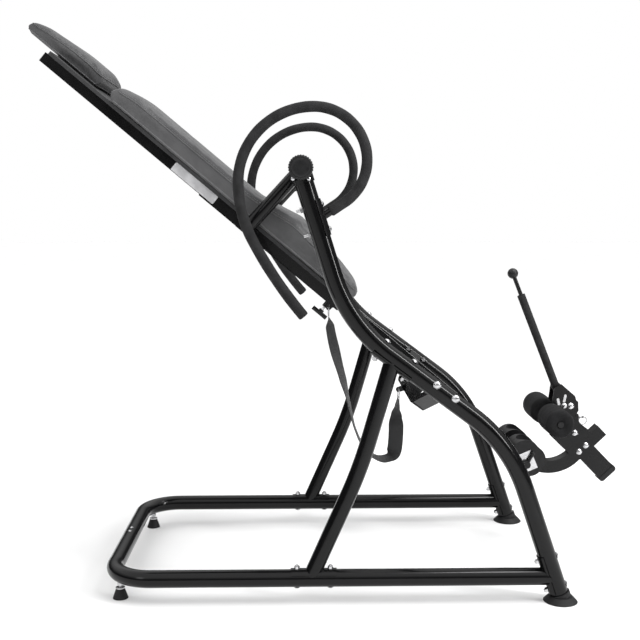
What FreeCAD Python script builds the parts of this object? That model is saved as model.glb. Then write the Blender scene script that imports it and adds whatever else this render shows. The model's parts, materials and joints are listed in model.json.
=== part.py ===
import FreeCAD, Part
import math
import os

# Inversion table.  Millimetres.  +X runs from the head end to the ankle end, +Y is across,
# +Z is up and the floor is z = 0.  Shapes are drawn with x = 0 on the pivot axis and are
# moved by -CENTRE_X when written, so the row's origin is the middle of the footprint.

os.makedirs("parts", exist_ok=True)

# ------------------------------------------------------------------ driving dimensions
CENTRE_X = 102.785          # middle of the object's length, measured from the pivot axis
PIVOT_Z = 1184.0           # height of the pivot axis
SIDE_Y = 348.0             # half the distance between the two side frames

BASE_R = 24.0              # base tube radius
BASE_Z = 70.0              # base tube centre height
BASE_REAR_X = -530.0       # centre of the rear cross run of the base
BASE_BEND_R = 115.0        # rear corner bend
UPRIGHT_R = 25.0           # S-shaped upright
BRACE_R = 22.5             # rear brace
TUBE_WALL = 1.6
SADDLE_T = 3.0             # curved mounting plates
SADDLE_PITCH = 92.0        # bolt spacing on every saddle
SADDLE_LEN = 126.0
FIT = 0.15                 # clearance between parts that only touch

UPRIGHT_TOP = (-3.0, 1185.0)
UPRIGHT_KNEE = (125.6, 772.0)      # corner of the upper bend
UPRIGHT_SHIN = (566.9, 443.3)      # corner of the lower bend
UPRIGHT_FOOT = (716.5, 12.0)
UPRIGHT_BEND_R = 430.0

BRACE_FOOT = (24.2, 70.0)
BRACE_MID = (159.7, 376.6)
BRACE_TOP = (245.5, 676.0)
BRACE_BEND_R = 1300.0
BRACE_SADDLE_X = 33.0      # middle of the saddle on the base tube
UPRIGHT_SADDLE = (252.7, 677.4)    # middle of the brace's upper saddle
FRONT_JOINT_Z = 82.0       # middle of the base to upright saddle

BED_TILT = math.radians(40.0)      # bed below level, towards the ankles
PIVOT_DROP = 223.0         # pivot axis to the boom's centre line, square to the bed
BED_HEAD_U = -730.0        # head end of the rails, along the bed from the pivot
BED_FOOT_U = 286.0         # ankle end of the rails
RAIL_Y = 200.0
RAIL_W = 25.0
RAIL_LOW = -7.0            # rail underside, square to the bed from the boom's centre line
RAIL_TOP = 21.0
BOARD_LOW = 21.3
BOARD_TOP = 31.3
PAD_LOW = 31.6
PAD_HALF = 240.0
HEAD_HALF = 145.0

BOOM = 38.0                # square boom tube
BOOM_WALL = 1.8
BOOM_TOP_U = -60.0
BOOM_BEND_R = 110.0
BOOM_BEND = (764.95, 251.1)        # corner of the end bend
BOOM_END = (920.6, 401.4)
BOOM_HOLE_R = 5.0
BOOM_HOLE_STEP = 25.4
BOOM_HOLES = 10
SLEEVE = 42.0              # square sleeve on the bed that guides the boom
SLEEVE_BORE = 39.2
SLEEVE_TOP_U = -190.0
SLEEVE_FOOT_U = 346.0
LOCK_U = 311.0             # T-handle lock pin, along the bed

ARM_R = 19.0               # pivot arms
ARM_Y = 268.0
ARM_U = -10.0               # where the arms meet the bed, along it from the pivot
AXLE_R = 10.0
HUB_R = 30.0               # pivot hub on the top of each upright
HUB_IN_Y = 318.0
HUB_OUT_Y = 383.0
CAP_R = 33.0
CAP_OUT_Y = 400.0

HANDLE_R = 11.0
FOAM_R = 14.5
FOAM_LEAD = 44.0           # foam on the straight run below each loop
HANDLE_TILT = math.radians(6.2)    # the loops lean in towards their tops

CROSS_U = (380.6, 582.0)   # point on the upright's centre line where the crossbar is bolted
CROSS_W = 40.0
CROSS_T = 25.0
CROSS_DROP = 72.0          # crossbar's level run below the uprights' centre line
CROSS_FLAT_Y = 190.0
CROSS_BOLT_PITCH = 62.8

BOLT_R = 4.0
BOLT_HEAD_R = 9.5
NUT_AF = 13.0
NUT_H = 7.0

STRAP_WIDTH = 46.0
STRAP_T = 2.6
STRAP_Y = 36.0             # the strap hangs beside the lock pin
STRAP_ROUTE = [            # x from the pivot, z; from the bed's clip to the crossbar's hook
    (84.0, 752.0), (87.0, 700.0), (102.0, 630.0), (124.0, 560.0), (142.0, 490.0),
    (153.0, 420.0), (182.0, 355.0), (236.0, 302.0), (296.0, 322.0), (305.0, 382.0),
    (297.0, 440.0), (301.0, 496.0)]

HOOK_X, HOOK_Z = STRAP_ROUTE[-1]
CLIP_X, CLIP_Z = STRAP_ROUTE[0]

# ------------------------------------------------------------------ directions
X_AXIS = FreeCAD.Vector(1, 0, 0)
Y_AXIS = FreeCAD.Vector(0, 1, 0)
Z_AXIS = FreeCAD.Vector(0, 0, 1)
ALONG = FreeCAD.Vector(math.cos(BED_TILT), 0, -math.sin(BED_TILT))     # bed, towards the ankles
ABOVE = FreeCAD.Vector(math.sin(BED_TILT), 0, math.cos(BED_TILT))      # square to the bed, upwards
BED_ORIGIN = FreeCAD.Vector(0, 0, PIVOT_Z) - ABOVE * PIVOT_DROP


def at(x, y, z):
    return FreeCAD.Vector(x, y, z)


def side(point, y):
    """A point of a side view, given as (x, z), in the plane at y."""
    return FreeCAD.Vector(point[0], y, point[1])


def bed(u, y, w):
    """A point of the bed: u along it from the pivot, w above the boom's centre line."""
    return BED_ORIGIN + ALONG * u + ABOVE * w + Y_AXIS * y


def unit(a, b):
    line = b - a
    line.normalize()
    return line


# ------------------------------------------------------------------ solids
def rod(a, b, radius):
    return Part.makeCylinder(radius, (b - a).Length, a, b - a)


def pipe(a, b, radius, bore):
    inner = rod(a - unit(a, b), b + unit(a, b), bore)
    return rod(a, b, radius).cut(inner)


def block(centre, ex, ey, ez, sx, sy, sz):
    """A box of sides sx, sy, sz along the unit directions ex, ey, ez."""
    corners = []
    for kx, ky in ((-0.5, -0.5), (0.5, -0.5), (0.5, 0.5), (-0.5, 0.5)):
        corners.append(centre + ex * (kx * sx) + ey * (ky * sy) - ez * (0.5 * sz))
    corners.append(corners[0])
    face = Part.Face(Part.makePolygon(corners))
    return face.extrude(ez * sz)


def bed_block(u0, u1, y0, y1, w0, w1):
    centre = bed((u0 + u1) / 2, (y0 + y1) / 2, (w0 + w1) / 2)
    return block(centre, ALONG, Y_AXIS, ABOVE, u1 - u0, y1 - y0, w1 - w0)


def plate(points, y0, y1):
    """A flat plate whose outline is a list of (x, z) points, between two y values."""
    outline = [side(p, y0) for p in points]
    outline.append(outline[0])
    return Part.Face(Part.makePolygon(outline)).extrude(Y_AXIS * (y1 - y0))


def bent_path(points, radii):
    """Straight runs between the points, joined by tangent arcs of the given radii."""
    edges = []
    start = points[0]
    for i, radius in enumerate(radii):
        corner = points[i + 1]
        into = unit(points[i], corner)
        out = unit(corner, points[i + 2])
        turn = into.getAngle(out)
        reach = radius * math.tan(turn / 2)
        first = corner - into * reach
        last = corner + out * reach
        bisect = out - into
        bisect.normalize()
        middle = corner + bisect * (radius / math.cos(turn / 2) - radius)
        if (first - start).Length > 1e-6:
            edges.append(Part.LineSegment(start, first).toShape())
        edges.append(Part.Arc(first, middle, last).toShape())
        start = last
    if (points[-1] - start).Length > 1e-6:
        edges.append(Part.LineSegment(start, points[-1]).toShape())
    return Part.Wire(edges)


def sweep(path, profile):
    solid = path.makePipeShell([profile], True, False)
    if solid.Volume < 0:
        solid.reverse()
    return solid


def round_sweep(path, radius):
    first = path.Edges[0]
    start = first.valueAt(first.FirstParameter)
    heading = first.tangentAt(first.FirstParameter)
    ring = Part.Wire(Part.makeCircle(radius, start, heading))
    return sweep(path, ring)


def flat_sweep(path, across, width, thick):
    """Sweep a rectangle, width along `across`, thick square to it and to the path."""
    first = path.Edges[0]
    start = first.valueAt(first.FirstParameter)
    heading = first.tangentAt(first.FirstParameter)
    other = heading.cross(across)
    other.normalize()
    corners = []
    for ka, ko in ((-0.5, -0.5), (0.5, -0.5), (0.5, 0.5), (-0.5, 0.5)):
        corners.append(start + across * (ka * width) + other * (ko * thick))
    corners.append(corners[0])
    return sweep(path, Part.makePolygon(corners))


def strap_plate(a, b, radius_a, radius_b, y0, y1):
    """A flat link between two round ends."""
    along = unit(side(a, 0), side(b, 0))
    across = at(-along.z, 0, along.x)
    corners = [side(a, y0) + across * radius_a, side(b, y0) + across * radius_b,
               side(b, y0) - across * radius_b, side(a, y0) - across * radius_a]
    corners.append(corners[0])
    bar = Part.Face(Part.makePolygon(corners)).extrude(Y_AXIS * (y1 - y0))
    for spot, radius in ((a, radius_a), (b, radius_b)):
        bar = bar.fuse(rod(side(spot, y0), side(spot, y1), radius))
    return bar.removeSplitter()


def saddle(centre, axis, facing, radius, length, half_angle=58.0):
    """A curved plate that lies on a tube of this radius, on the side that it faces."""
    across = axis.cross(facing)
    inner = radius + FIT
    outer = radius + FIT + SADDLE_T
    spread = math.radians(half_angle)

    def rim(r, angle):
        return centre - axis * (length / 2) + facing * (r * math.cos(angle)) + across * (r * math.sin(angle))

    edges = [
        Part.Arc(rim(outer, -spread), rim(outer, 0), rim(outer, spread)).toShape(),
        Part.LineSegment(rim(outer, spread), rim(inner, spread)).toShape(),
        Part.Arc(rim(inner, spread), rim(inner, 0), rim(inner, -spread)).toShape(),
        Part.LineSegment(rim(inner, -spread), rim(outer, -spread)).toShape()]
    return Part.Face(Part.Wire(edges)).extrude(axis * length)


def dome_bolt(seat, direction, length, head_r=BOLT_HEAD_R, shank_r=BOLT_R, head_h=5.0):
    """A dome-head bolt: its head stands on `seat` and its shank runs along `direction`."""
    dome_r = (head_r * head_r + head_h * head_h) / (2 * head_h)
    ball = Part.makeSphere(dome_r, seat + direction * (dome_r - head_h))
    head = ball.common(rod(seat, seat - direction * (head_h + 1), head_r + 1))
    return head.fuse(rod(seat - direction * 0.5, seat + direction * length, shank_r)).removeSplitter()


def hex_nut(seat, direction, across_flats=NUT_AF, height=NUT_H, bore=BOLT_R + 0.08):
    """A plain nut that stands on `seat` and rises along `direction`."""
    hint = Y_AXIS if abs(direction.dot(Y_AXIS)) < 0.9 else Z_AXIS
    right = direction.cross(hint)
    right.normalize()
    other = direction.cross(right)
    corner_r = across_flats / math.sqrt(3)
    points = []
    for i in range(7):
        angle = i * math.pi / 3
        points.append(seat + right * (corner_r * math.cos(angle)) + other * (corner_r * math.sin(angle)))
    nut = Part.Face(Part.makePolygon(points)).extrude(direction * height)
    return nut.cut(rod(seat - direction, seat + direction * (height + 1), bore))


def drill(shape, holes):
    for a, b, radius in holes:
        shape = shape.cut(rod(a, b, radius))
    return shape


def mirrored(shape):
    return shape.mirror(at(0, 0, 0), Y_AXIS)


def group(shapes):
    return Part.makeCompound(shapes)


def both(shapes):
    """The pieces of one side and their mirror images, as one group."""
    return group(shapes + [mirrored(s) for s in shapes])


PARTS = {}


def keep(name, shape):
    PARTS[name] = shape


def keep_pair(name, shape):
    """left is the -Y side, right the +Y side."""
    keep(name + "_left", shape)
    keep(name + "_right", mirrored(shape))


# ------------------------------------------------------------------ stand: side frames
HOLE = BOLT_R + 0.3
upright_axis = bent_path(
    [side(p, -SIDE_Y) for p in (UPRIGHT_TOP, UPRIGHT_KNEE, UPRIGHT_SHIN, UPRIGHT_FOOT)],
    [UPRIGHT_BEND_R, UPRIGHT_BEND_R])
UPPER = unit(side(UPRIGHT_TOP, 0), side(UPRIGHT_KNEE, 0))
MIDDLE = unit(side(UPRIGHT_KNEE, 0), side(UPRIGHT_SHIN, 0))
LOWER = unit(side(UPRIGHT_SHIN, 0), side(UPRIGHT_FOOT, 0))
MIDDLE_UP = at(-MIDDLE.z, 0, MIDDLE.x)
LOWER_FRONT = at(-LOWER.z, 0, LOWER.x)
UPPER_FRONT = at(-UPPER.z, 0, UPPER.x)

upright_solid = round_sweep(upright_axis, UPRIGHT_R)
upright_clear = round_sweep(upright_axis, UPRIGHT_R + FIT)
hub_axis_in = at(0, -HUB_IN_Y, PIVOT_Z)
hub_axis_out = at(0, -HUB_OUT_Y, PIVOT_Z)

# where each bolt passes through the side frame: (head seat, direction, nut seat)
bolts = []


def saddle_bolts(centre, axis, towards_nut, radius_head, radius_nut, pitch=SADDLE_PITCH):
    for k in (-0.5, 0.5):
        middle = centre + axis * (k * pitch)
        bolts.append((middle - towards_nut * radius_head, towards_nut, middle + towards_nut * radius_nut))


nut_lift = FIT * 2 + SADDLE_T
front_joint_x = UPRIGHT_FOOT[0] + (FRONT_JOINT_Z - UPRIGHT_FOOT[1]) * LOWER.x / LOWER.z
front_joint = side((front_joint_x, FRONT_JOINT_Z), -SIDE_Y)
brace_joint = side(UPRIGHT_SADDLE, -SIDE_Y)
brace_foot = at(BRACE_SADDLE_X, -SIDE_Y, BASE_Z)
handle_joint = side(UPRIGHT_TOP, -SIDE_Y) + UPPER * 141.0
HANDLE_PITCH = 68.6

saddle_bolts(front_joint, LOWER, LOWER_FRONT * -1, UPRIGHT_R + 0.1, UPRIGHT_R + nut_lift, 86.0)
saddle_bolts(brace_joint, MIDDLE, MIDDLE_UP * -1, UPRIGHT_R + 2.2, UPRIGHT_R + nut_lift)
saddle_bolts(brace_foot, X_AXIS, Z_AXIS, BASE_R + 0.1, BASE_R + nut_lift)
saddle_bolts(handle_joint, UPPER, UPPER_FRONT * -1, UPRIGHT_R + nut_lift, UPRIGHT_R + 0.2, HANDLE_PITCH)
frame_holes = [(seat - d * 2, nut + d * 2, HOLE) for seat, d, nut in bolts]

# crossbar bolts run across, a little above the uprights' centre line
CROSS_BOLT_UP = 12.0
cross_mid = side(CROSS_U, -SIDE_Y)
chord = math.sqrt(UPRIGHT_R ** 2 - CROSS_BOLT_UP ** 2)
cross_bolts = []
for k in (-0.5, 0.5):
    middle = cross_mid + MIDDLE * (k * CROSS_BOLT_PITCH) + MIDDLE_UP * CROSS_BOLT_UP
    cross_bolts.append(middle)
    frame_holes.append((middle - Y_AXIS * 40, middle + Y_AXIS * 40, HOLE))

hub_clear = rod(hub_axis_in, hub_axis_out, HUB_R + FIT)
upright = upright_solid.cut(round_sweep(upright_axis, UPRIGHT_R - TUBE_WALL)).cut(hub_clear)
keep_pair("upright", drill(upright, frame_holes))

# base: a J-shaped tube on each side, met in the middle of the rear run
base_axis = bent_path(
    [at(BASE_REAR_X, -0.2, BASE_Z), at(BASE_REAR_X, -SIDE_Y, BASE_Z), at(front_joint.x, -SIDE_Y, BASE_Z)],
    [BASE_BEND_R])
front_saddle = saddle(front_joint, LOWER, LOWER_FRONT * -1, UPRIGHT_R, 112.0)
front_cope = rod(front_joint - LOWER * 120, front_joint + LOWER * 70, UPRIGHT_R + FIT + 1.0)
base_outer = round_sweep(base_axis, BASE_R).cut(front_cope)
base_inner = round_sweep(base_axis, BASE_R - TUBE_WALL)
FOOT_BEND = math.radians(38.0)     # where on the corner bend the rear foot is screwed in
foot_x = BASE_REAR_X + BASE_BEND_R * (1 - math.cos(FOOT_BEND))
foot_y = -(SIDE_Y - BASE_BEND_R + BASE_BEND_R * math.sin(FOOT_BEND))
base_tube = base_outer.cut(base_inner).fuse(front_saddle).removeSplitter()
base_holes = frame_holes + [(at(foot_x, foot_y, BASE_Z - 40), at(foot_x, foot_y, BASE_Z - 10), 4.3)]
seam_screws = []        # small screws through the rear joint
for y in (-16.0, 16.0):
    seam_screws.append(at(BASE_REAR_X + 2, y, BASE_Z + BASE_R + 0.1))
base_holes.append((at(BASE_REAR_X + 2, -16, BASE_Z), at(BASE_REAR_X + 2, -16, BASE_Z + 40), 2.9))
keep_pair("base_tube", drill(base_tube, base_holes))

joiner_r = BASE_R - TUBE_WALL - 0.1
joiner = pipe(at(BASE_REAR_X, -70, BASE_Z), at(BASE_REAR_X, 70, BASE_Z), joiner_r, BASE_R - 4.5)
joiner_holes = [(p - Z_AXIS * 12, p + Z_AXIS * 5, 2.75) for p in seam_screws]
keep("base_joiner", drill(joiner, joiner_holes))
joint_screws = [dome_bolt(p, Z_AXIS * -1, 9.0, 5.0, 2.6, 2.6) for p in seam_screws]

# rear brace: gently bent tube with a welded saddle at each end
brace_axis = bent_path(
    [side(BRACE_FOOT, -SIDE_Y), side(BRACE_MID, -SIDE_Y), side(BRACE_TOP, -SIDE_Y)], [BRACE_BEND_R])
base_clear = rod(at(-200, -SIDE_Y, BASE_Z), at(300, -SIDE_Y, BASE_Z), BASE_R + FIT)
brace = round_sweep(brace_axis, BRACE_R).cut(round_sweep(brace_axis, BRACE_R - TUBE_WALL))
brace = brace.cut(base_clear).cut(upright_clear)
foot_saddle = saddle(brace_foot, X_AXIS, Z_AXIS, BASE_R, SADDLE_LEN)
top_saddle = saddle(brace_joint, MIDDLE, MIDDLE_UP * -1, UPRIGHT_R, SADDLE_LEN).cut(upright_clear)
brace = brace.fuse(foot_saddle).fuse(top_saddle).removeSplitter()
keep_pair("rear_brace", drill(brace, frame_holes))

frame_bolts = []
frame_nuts = []
for seat, direction, nut in bolts:
    spare = 11.0 if seat.z > 900 else 3.0
    frame_bolts.append(dome_bolt(seat, direction, (nut - seat).Length + NUT_H + spare))
    frame_nuts.append(hex_nut(nut, direction))
keep("frame_bolts", both(frame_bolts + frame_nuts))

# feet
foot_top = BASE_Z - BASE_R - 0.3
rear_foot = Part.makeCone(21.5, 12.0, 28.0, at(foot_x, foot_y, 0), Z_AXIS)
rear_foot = rear_foot.cut(rod(at(foot_x, foot_y, 14), at(foot_x, foot_y, 40), 4.1))
keep("rear_feet", both([rear_foot]))
stud = rod(at(foot_x, foot_y, 14.2), at(foot_x, foot_y, foot_top + 12), 4.0)
washer = pipe(at(foot_x, foot_y, 28.2), at(foot_x, foot_y, 31.0), 13.0, 4.1)
lock_nut = hex_nut(at(foot_x, foot_y, foot_top - 8.5), Z_AXIS, 15.0, 8.2)
keep("rear_foot_studs", both([stud, washer, lock_nut]))

flange = Part.makeCone(47.0, 33.0, 15.0, at(UPRIGHT_FOOT[0], -SIDE_Y, 0), Z_AXIS)
ankle = rod(side(UPRIGHT_FOOT, -SIDE_Y) + LOWER * 1, side(UPRIGHT_FOOT, -SIDE_Y) - LOWER * 13, 29.0)
front_foot = flange.fuse(ankle).removeSplitter()
shin_bore = rod(side(UPRIGHT_FOOT, -SIDE_Y), side(UPRIGHT_FOOT, -SIDE_Y) - LOWER * 60, UPRIGHT_R + FIT)
front_foot = front_foot.cut(shin_bore)
keep("front_feet", both([front_foot]))

# ------------------------------------------------------------------ stand: crossbar
def cross_point(y, rise):
    return at(CROSS_U[0], y, CROSS_U[1]) + MIDDLE_UP * rise


cross_axis = bent_path(
    [cross_point(-SIDE_Y + 20, 4), cross_point(-CROSS_FLAT_Y, -CROSS_DROP),
     cross_point(CROSS_FLAT_Y, -CROSS_DROP), cross_point(SIDE_Y - 20, 4)], [60.0, 60.0])
TAB_T = 4.0                # welded tabs that the strap's wire clips hang from
TAB_HOLE_R = 2.6
HOOK_WIRE = (HOOK_X, HOOK_Z + 27.0)
CLIP_WIRE = (CLIP_X, CLIP_Z + 26.0)
hook_tab = strap_plate(HOOK_WIRE, (324.0, 530.0), 8.0, 9.0, STRAP_Y - TAB_T / 2, STRAP_Y + TAB_T / 2)
crossbar = flat_sweep(cross_axis, MIDDLE, CROSS_W, CROSS_T).fuse(hook_tab)
crossbar = crossbar.cut(flat_sweep(cross_axis, MIDDLE, CROSS_W - 5, CROSS_T - 5))
cross_seat = saddle(cross_mid, MIDDLE, Y_AXIS, UPRIGHT_R, 96.0, 62.0)
cope = rod(cross_mid - MIDDLE * 90, cross_mid + MIDDLE * 90, UPRIGHT_R + FIT + 0.5)
crossbar = crossbar.cut(cope).cut(mirrored(cope)).fuse(cross_seat).fuse(mirrored(cross_seat))
cross_holes = []
for p in cross_bolts:
    cross_holes.append((p, p + Y_AXIS * 60, HOLE))
    q = at(p.x, -p.y, p.z)
    cross_holes.append((q - Y_AXIS * 60, q, HOLE))
cross_holes.append((side(HOOK_WIRE, STRAP_Y - 5), side(HOOK_WIRE, STRAP_Y + 5), TAB_HOLE_R))
keep("crossbar", drill(crossbar.removeSplitter(), cross_holes))

cross_seat_y = SIDE_Y - chord - SADDLE_T - 1.0     # inner face of the end plates at the bolts
side_bolts = []
side_nuts = []
side_washers = []
for p in cross_bolts:
    head = at(p.x, -(SIDE_Y + UPRIGHT_R + 0.1), p.z)
    side_bolts.append(dome_bolt(head, Y_AXIS, 2 * UPRIGHT_R + 14.0, 10.0))
    side_nuts.append(hex_nut(at(p.x, -cross_seat_y + 2.1, p.z), Y_AXIS))
    shim = pipe(head + Y_AXIS * 0.1, head + Y_AXIS * 14, 10.5, HOLE)
    side_washers.append(shim.cut(upright_clear))
keep("crossbar_bolts", both(side_bolts + side_nuts + side_washers))

# rubber rest that the boom lies on
rest_u = (at(CROSS_U[0], 0, CROSS_U[1]) - BED_ORIGIN).dot(ALONG)
rest = bed_block(rest_u - 24, rest_u + 24, -27, 27, -64, -BOOM / 2 - 0.5)
cross_below = cross_point(0, -CROSS_DROP - 20 + CROSS_T / 2 + FIT)
cross_flat = block(cross_below, MIDDLE, Y_AXIS, MIDDLE_UP, 90, 300, 40)
keep("boom_rest", rest.cut(cross_flat))

# ------------------------------------------------------------------ stand: pivot hubs
hub_body = rod(hub_axis_in, hub_axis_out, HUB_R)
collar_top = side(UPRIGHT_TOP, -SIDE_Y)
collar = rod(collar_top + UPPER * 6, collar_top + UPPER * 42, UPRIGHT_R + 3.2)
collar = collar.cut(rod(collar_top - UPPER * 60, collar_top + UPPER * 90, UPRIGHT_R + FIT))
hub = hub_body.fuse(collar)
hub_screws = []
for x in (-21.0, 21.0):
    seat = at(x, -(SIDE_Y + 28.4), PIVOT_Z - 28.5)
    hub_screws.append(seat)
    hub = hub.fuse(rod(seat, seat + Y_AXIS * 22, 7.0).cut(upright_clear))
hub = hub.cut(rod(hub_axis_in + Y_AXIS, hub_axis_out - Y_AXIS, 14.0)).removeSplitter()
hub = drill(hub, [(p, p + Y_AXIS * 8, 2.8) for p in hub_screws])
keep("pivot_hubs", both([hub]))
hub_fixings = [dome_bolt(p - Y_AXIS * 0.1, Y_AXIS, 4.9, 5.0, 2.6, 2.6) for p in hub_screws]
keep("small_screws", group(joint_screws + hub_fixings + [mirrored(s) for s in hub_fixings]))
bush = pipe(hub_axis_in - Y_AXIS * 0.5, hub_axis_out + Y_AXIS * 1, 13.94, AXLE_R + 0.06)
keep("pivot_bushes", both([bush]))

cap = rod(at(0, -HUB_OUT_Y - 0.3, PIVOT_Z), at(0, -CAP_OUT_Y, PIVOT_Z), CAP_R)
cap = cap.makeFillet(5.0, [e for e in cap.Edges if abs(e.CenterOfMass.y + CAP_OUT_Y) < 0.01])
NOTCHES = 26
for i in range(NOTCHES):
    angle = 2 * math.pi * i / NOTCHES
    spot = at((CAP_R + 0.9) * math.cos(angle), 0, (CAP_R + 0.9) * math.sin(angle) + PIVOT_Z)
    cap = cap.cut(rod(spot - Y_AXIS * (CAP_OUT_Y + 1), spot - Y_AXIS * (HUB_OUT_Y - 1), 2.0))
keep("pivot_caps", both([cap]))

# ------------------------------------------------------------------ stand: handles
def arc_point(centre, radius, heading):
    """The point of a left-turning arc where its heading is this many degrees."""
    angle = math.radians(heading - 90.0)
    return (centre[0] + radius * math.cos(angle), centre[1] + radius * math.sin(angle))


RIGHT_X = 175.0            # foremost point of the loop
CROWN_Z = 1348.0           # top of the loop
LEFT_X = -165.0            # rearmost point of the loop
START_HEADING = 33.0
loop_arcs = []             # (centre, radius, first heading, last heading)
loop_arcs.append(((RIGHT_X - 135.0, CROWN_Z - 140.0), 135.0, START_HEADING, 90.0))
loop_arcs.append(((RIGHT_X - 140.0, CROWN_Z - 140.0), 140.0, 90.0, 180.0))
loop_arcs.append(((RIGHT_X - 140.0, CROWN_Z - 200.0), 200.0, 180.0, 270.0))
loop_arcs.append(((LEFT_X + 330.0, CROWN_Z - 200.0), 330.0, 270.0, 298.0))
knee = arc_point(loop_arcs[-1][0], 330.0, 298.0)
GRIP_R = 1150.0
grip_normal = math.radians(298.0 + 90.0)
grip_centre = (knee[0] + GRIP_R * math.cos(grip_normal), knee[1] + GRIP_R * math.sin(grip_normal))
loop_arcs.append((grip_centre, GRIP_R, 298.0, 310.0))


def loop_wire(lead_in, last_heading):
    edges = []
    first = side(arc_point(loop_arcs[0][0], loop_arcs[0][1], START_HEADING), -SIDE_Y)
    heading = math.radians(START_HEADING)
    if lead_in > 0:
        begin = first - at(math.cos(heading), 0, math.sin(heading)) * lead_in
        edges.append(Part.LineSegment(begin, first).toShape())
    for centre, radius, h0, h1 in loop_arcs:
        h1 = min(h1, last_heading) if h0 > 290 else h1
        a = side(arc_point(centre, radius, h0), -SIDE_Y)
        b = side(arc_point(centre, radius, (h0 + h1) / 2), -SIDE_Y)
        c = side(arc_point(centre, radius, h1), -SIDE_Y)
        edges.append(Part.Arc(a, b, c).toShape())
    return Part.Wire(edges)


def lean(shape):
    """Lean a loop in towards its top, about a level line through its mounting."""
    return shape.rotate(at(0, -SIDE_Y, handle_joint.z), X_AXIS, -math.degrees(HANDLE_TILT))


handle = round_sweep(loop_wire(66.0, 309.6), HANDLE_R)
handle_bore = round_sweep(loop_wire(64.0, 309.4), HANDLE_R - TUBE_WALL)
foam = round_sweep(loop_wire(FOAM_LEAD, 310.0), FOAM_R)
foam_bore = round_sweep(loop_wire(FOAM_LEAD + 1.0, 309.65), HANDLE_R + 0.08)
handle = lean(handle.cut(handle_bore))
foam = lean(foam.cut(foam_bore))
handle_saddle = saddle(handle_joint, UPPER, UPPER_FRONT, UPRIGHT_R, 100.0)
handle_cope = rod(handle_joint - UPPER * 120, handle_joint + UPPER * 120, UPRIGHT_R + FIT + 0.5)
handle = handle.cut(handle_cope).fuse(handle_saddle).removeSplitter()
keep_pair("handle_tube", drill(handle, frame_holes))
keep("handle_foams", both([foam]))

# ------------------------------------------------------------------ bed: frame
def square_tube(u0, u1, y, w, wide, high, wall):
    outer = bed_block(u0, u1, y - wide / 2, y + wide / 2, w - high / 2, w + high / 2)
    half_wide = wide / 2 - wall
    half_high = high / 2 - wall
    inner = bed_block(u0 - 1, u1 + 1, y - half_wide, y + half_wide, w - half_high, w + half_high)
    return outer.cut(inner)


rail_w = (RAIL_LOW + RAIL_TOP) / 2
rail_h = RAIL_TOP - RAIL_LOW
rail_holes = []
for u in (ARM_U - 16.0, ARM_U + 16.0):
    rail_holes.append((bed(u, -300, rail_w), bed(u, -150, rail_w), HOLE))
rail = drill(square_tube(BED_HEAD_U, BED_FOOT_U, -RAIL_Y, rail_w, RAIL_W, rail_h, 1.8), rail_holes)
rail_in = RAIL_Y - RAIL_W / 2
plugs = []
for u0, u1 in ((BED_HEAD_U - 2.0, BED_HEAD_U + 14.0), (BED_FOOT_U - 14.0, BED_FOOT_U + 2.0)):
    reach = rail_h / 2 - 2
    inside = bed_block(u0, u1, -RAIL_Y - 10.5, -RAIL_Y + 10.5, rail_w - reach, rail_w + reach)
    end = BED_HEAD_U - 1.0 if u0 < BED_HEAD_U else BED_FOOT_U + 1.1
    lid = bed_block(end - 0.9, end + 0.9, -RAIL_Y - 12.5, -RAIL_Y + 12.5, RAIL_LOW, RAIL_TOP)
    plugs.append(inside.fuse(lid).removeSplitter())
keep("rail_end_plugs", both(plugs))


def cross_tube(u, y0, y1):
    outer = bed_block(u - 12.5, u + 12.5, y0, y1, RAIL_LOW, RAIL_TOP - 0.3)
    inner = bed_block(u - 10.7, u + 10.7, y0 - 1, y1 + 1, RAIL_LOW + 1.8, RAIL_TOP - 2.1)
    return outer.cut(inner)


clip_u = 326.0
lug = bed_block(clip_u - 11, clip_u + 11, SLEEVE / 2, SLEEVE / 2 + 4, -24, 12)
ear = bed_block(clip_u - 11, clip_u + 11, SLEEVE / 2, STRAP_Y + 26, -24, -20)
ear_root = bed(clip_u, 0, -24)
tab_y0 = STRAP_Y - TAB_T / 2
clip_tab = strap_plate(CLIP_WIRE, (ear_root.x, ear_root.z), 8.0, 9.0, tab_y0, tab_y0 + TAB_T)
clip_tab = clip_tab.cut(bed_block(clip_u - 40, clip_u + 40, 20, 80, -20, 20))
sleeve = square_tube(SLEEVE_TOP_U, SLEEVE_FOOT_U, 0, 0, SLEEVE, SLEEVE, (SLEEVE - SLEEVE_BORE) / 2)
sleeve_out = SLEEVE / 2
weldment = [mirrored(rail), sleeve, lug, ear, clip_tab]
for u in (-690.0, -250.0):
    weldment.append(cross_tube(u, -rail_in, rail_in))
for u in (-60.0, 110.0, 262.0):
    weldment.append(cross_tube(u, -rail_in, -sleeve_out))
    weldment.append(cross_tube(u, sleeve_out, rail_in))
bed_frame = rail.fuse(weldment).removeSplitter()
frame_bores = [(bed(LOCK_U, 0, -30), bed(LOCK_U, 0, -10), 4.4)]
frame_bores.append((side(CLIP_WIRE, STRAP_Y - 5), side(CLIP_WIRE, STRAP_Y + 5), TAB_HOLE_R))
keep("bed_frame", drill(bed_frame, frame_bores))

board = bed_block(BED_HEAD_U + 2, 300.0, -222, 222, BOARD_LOW, BOARD_TOP)
board_corners = [e for e in board.Edges if abs(e.Length - (BOARD_TOP - BOARD_LOW)) < 0.01]
keep("back_board", board.makeFillet(28.0, board_corners))


def bed_profile(points, half_width):
    outline = [bed(u, -half_width, w) for u, w in points]
    outline.append(outline[0])
    return Part.Face(Part.makePolygon(outline)).extrude(Y_AXIS * (2 * half_width))


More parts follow.
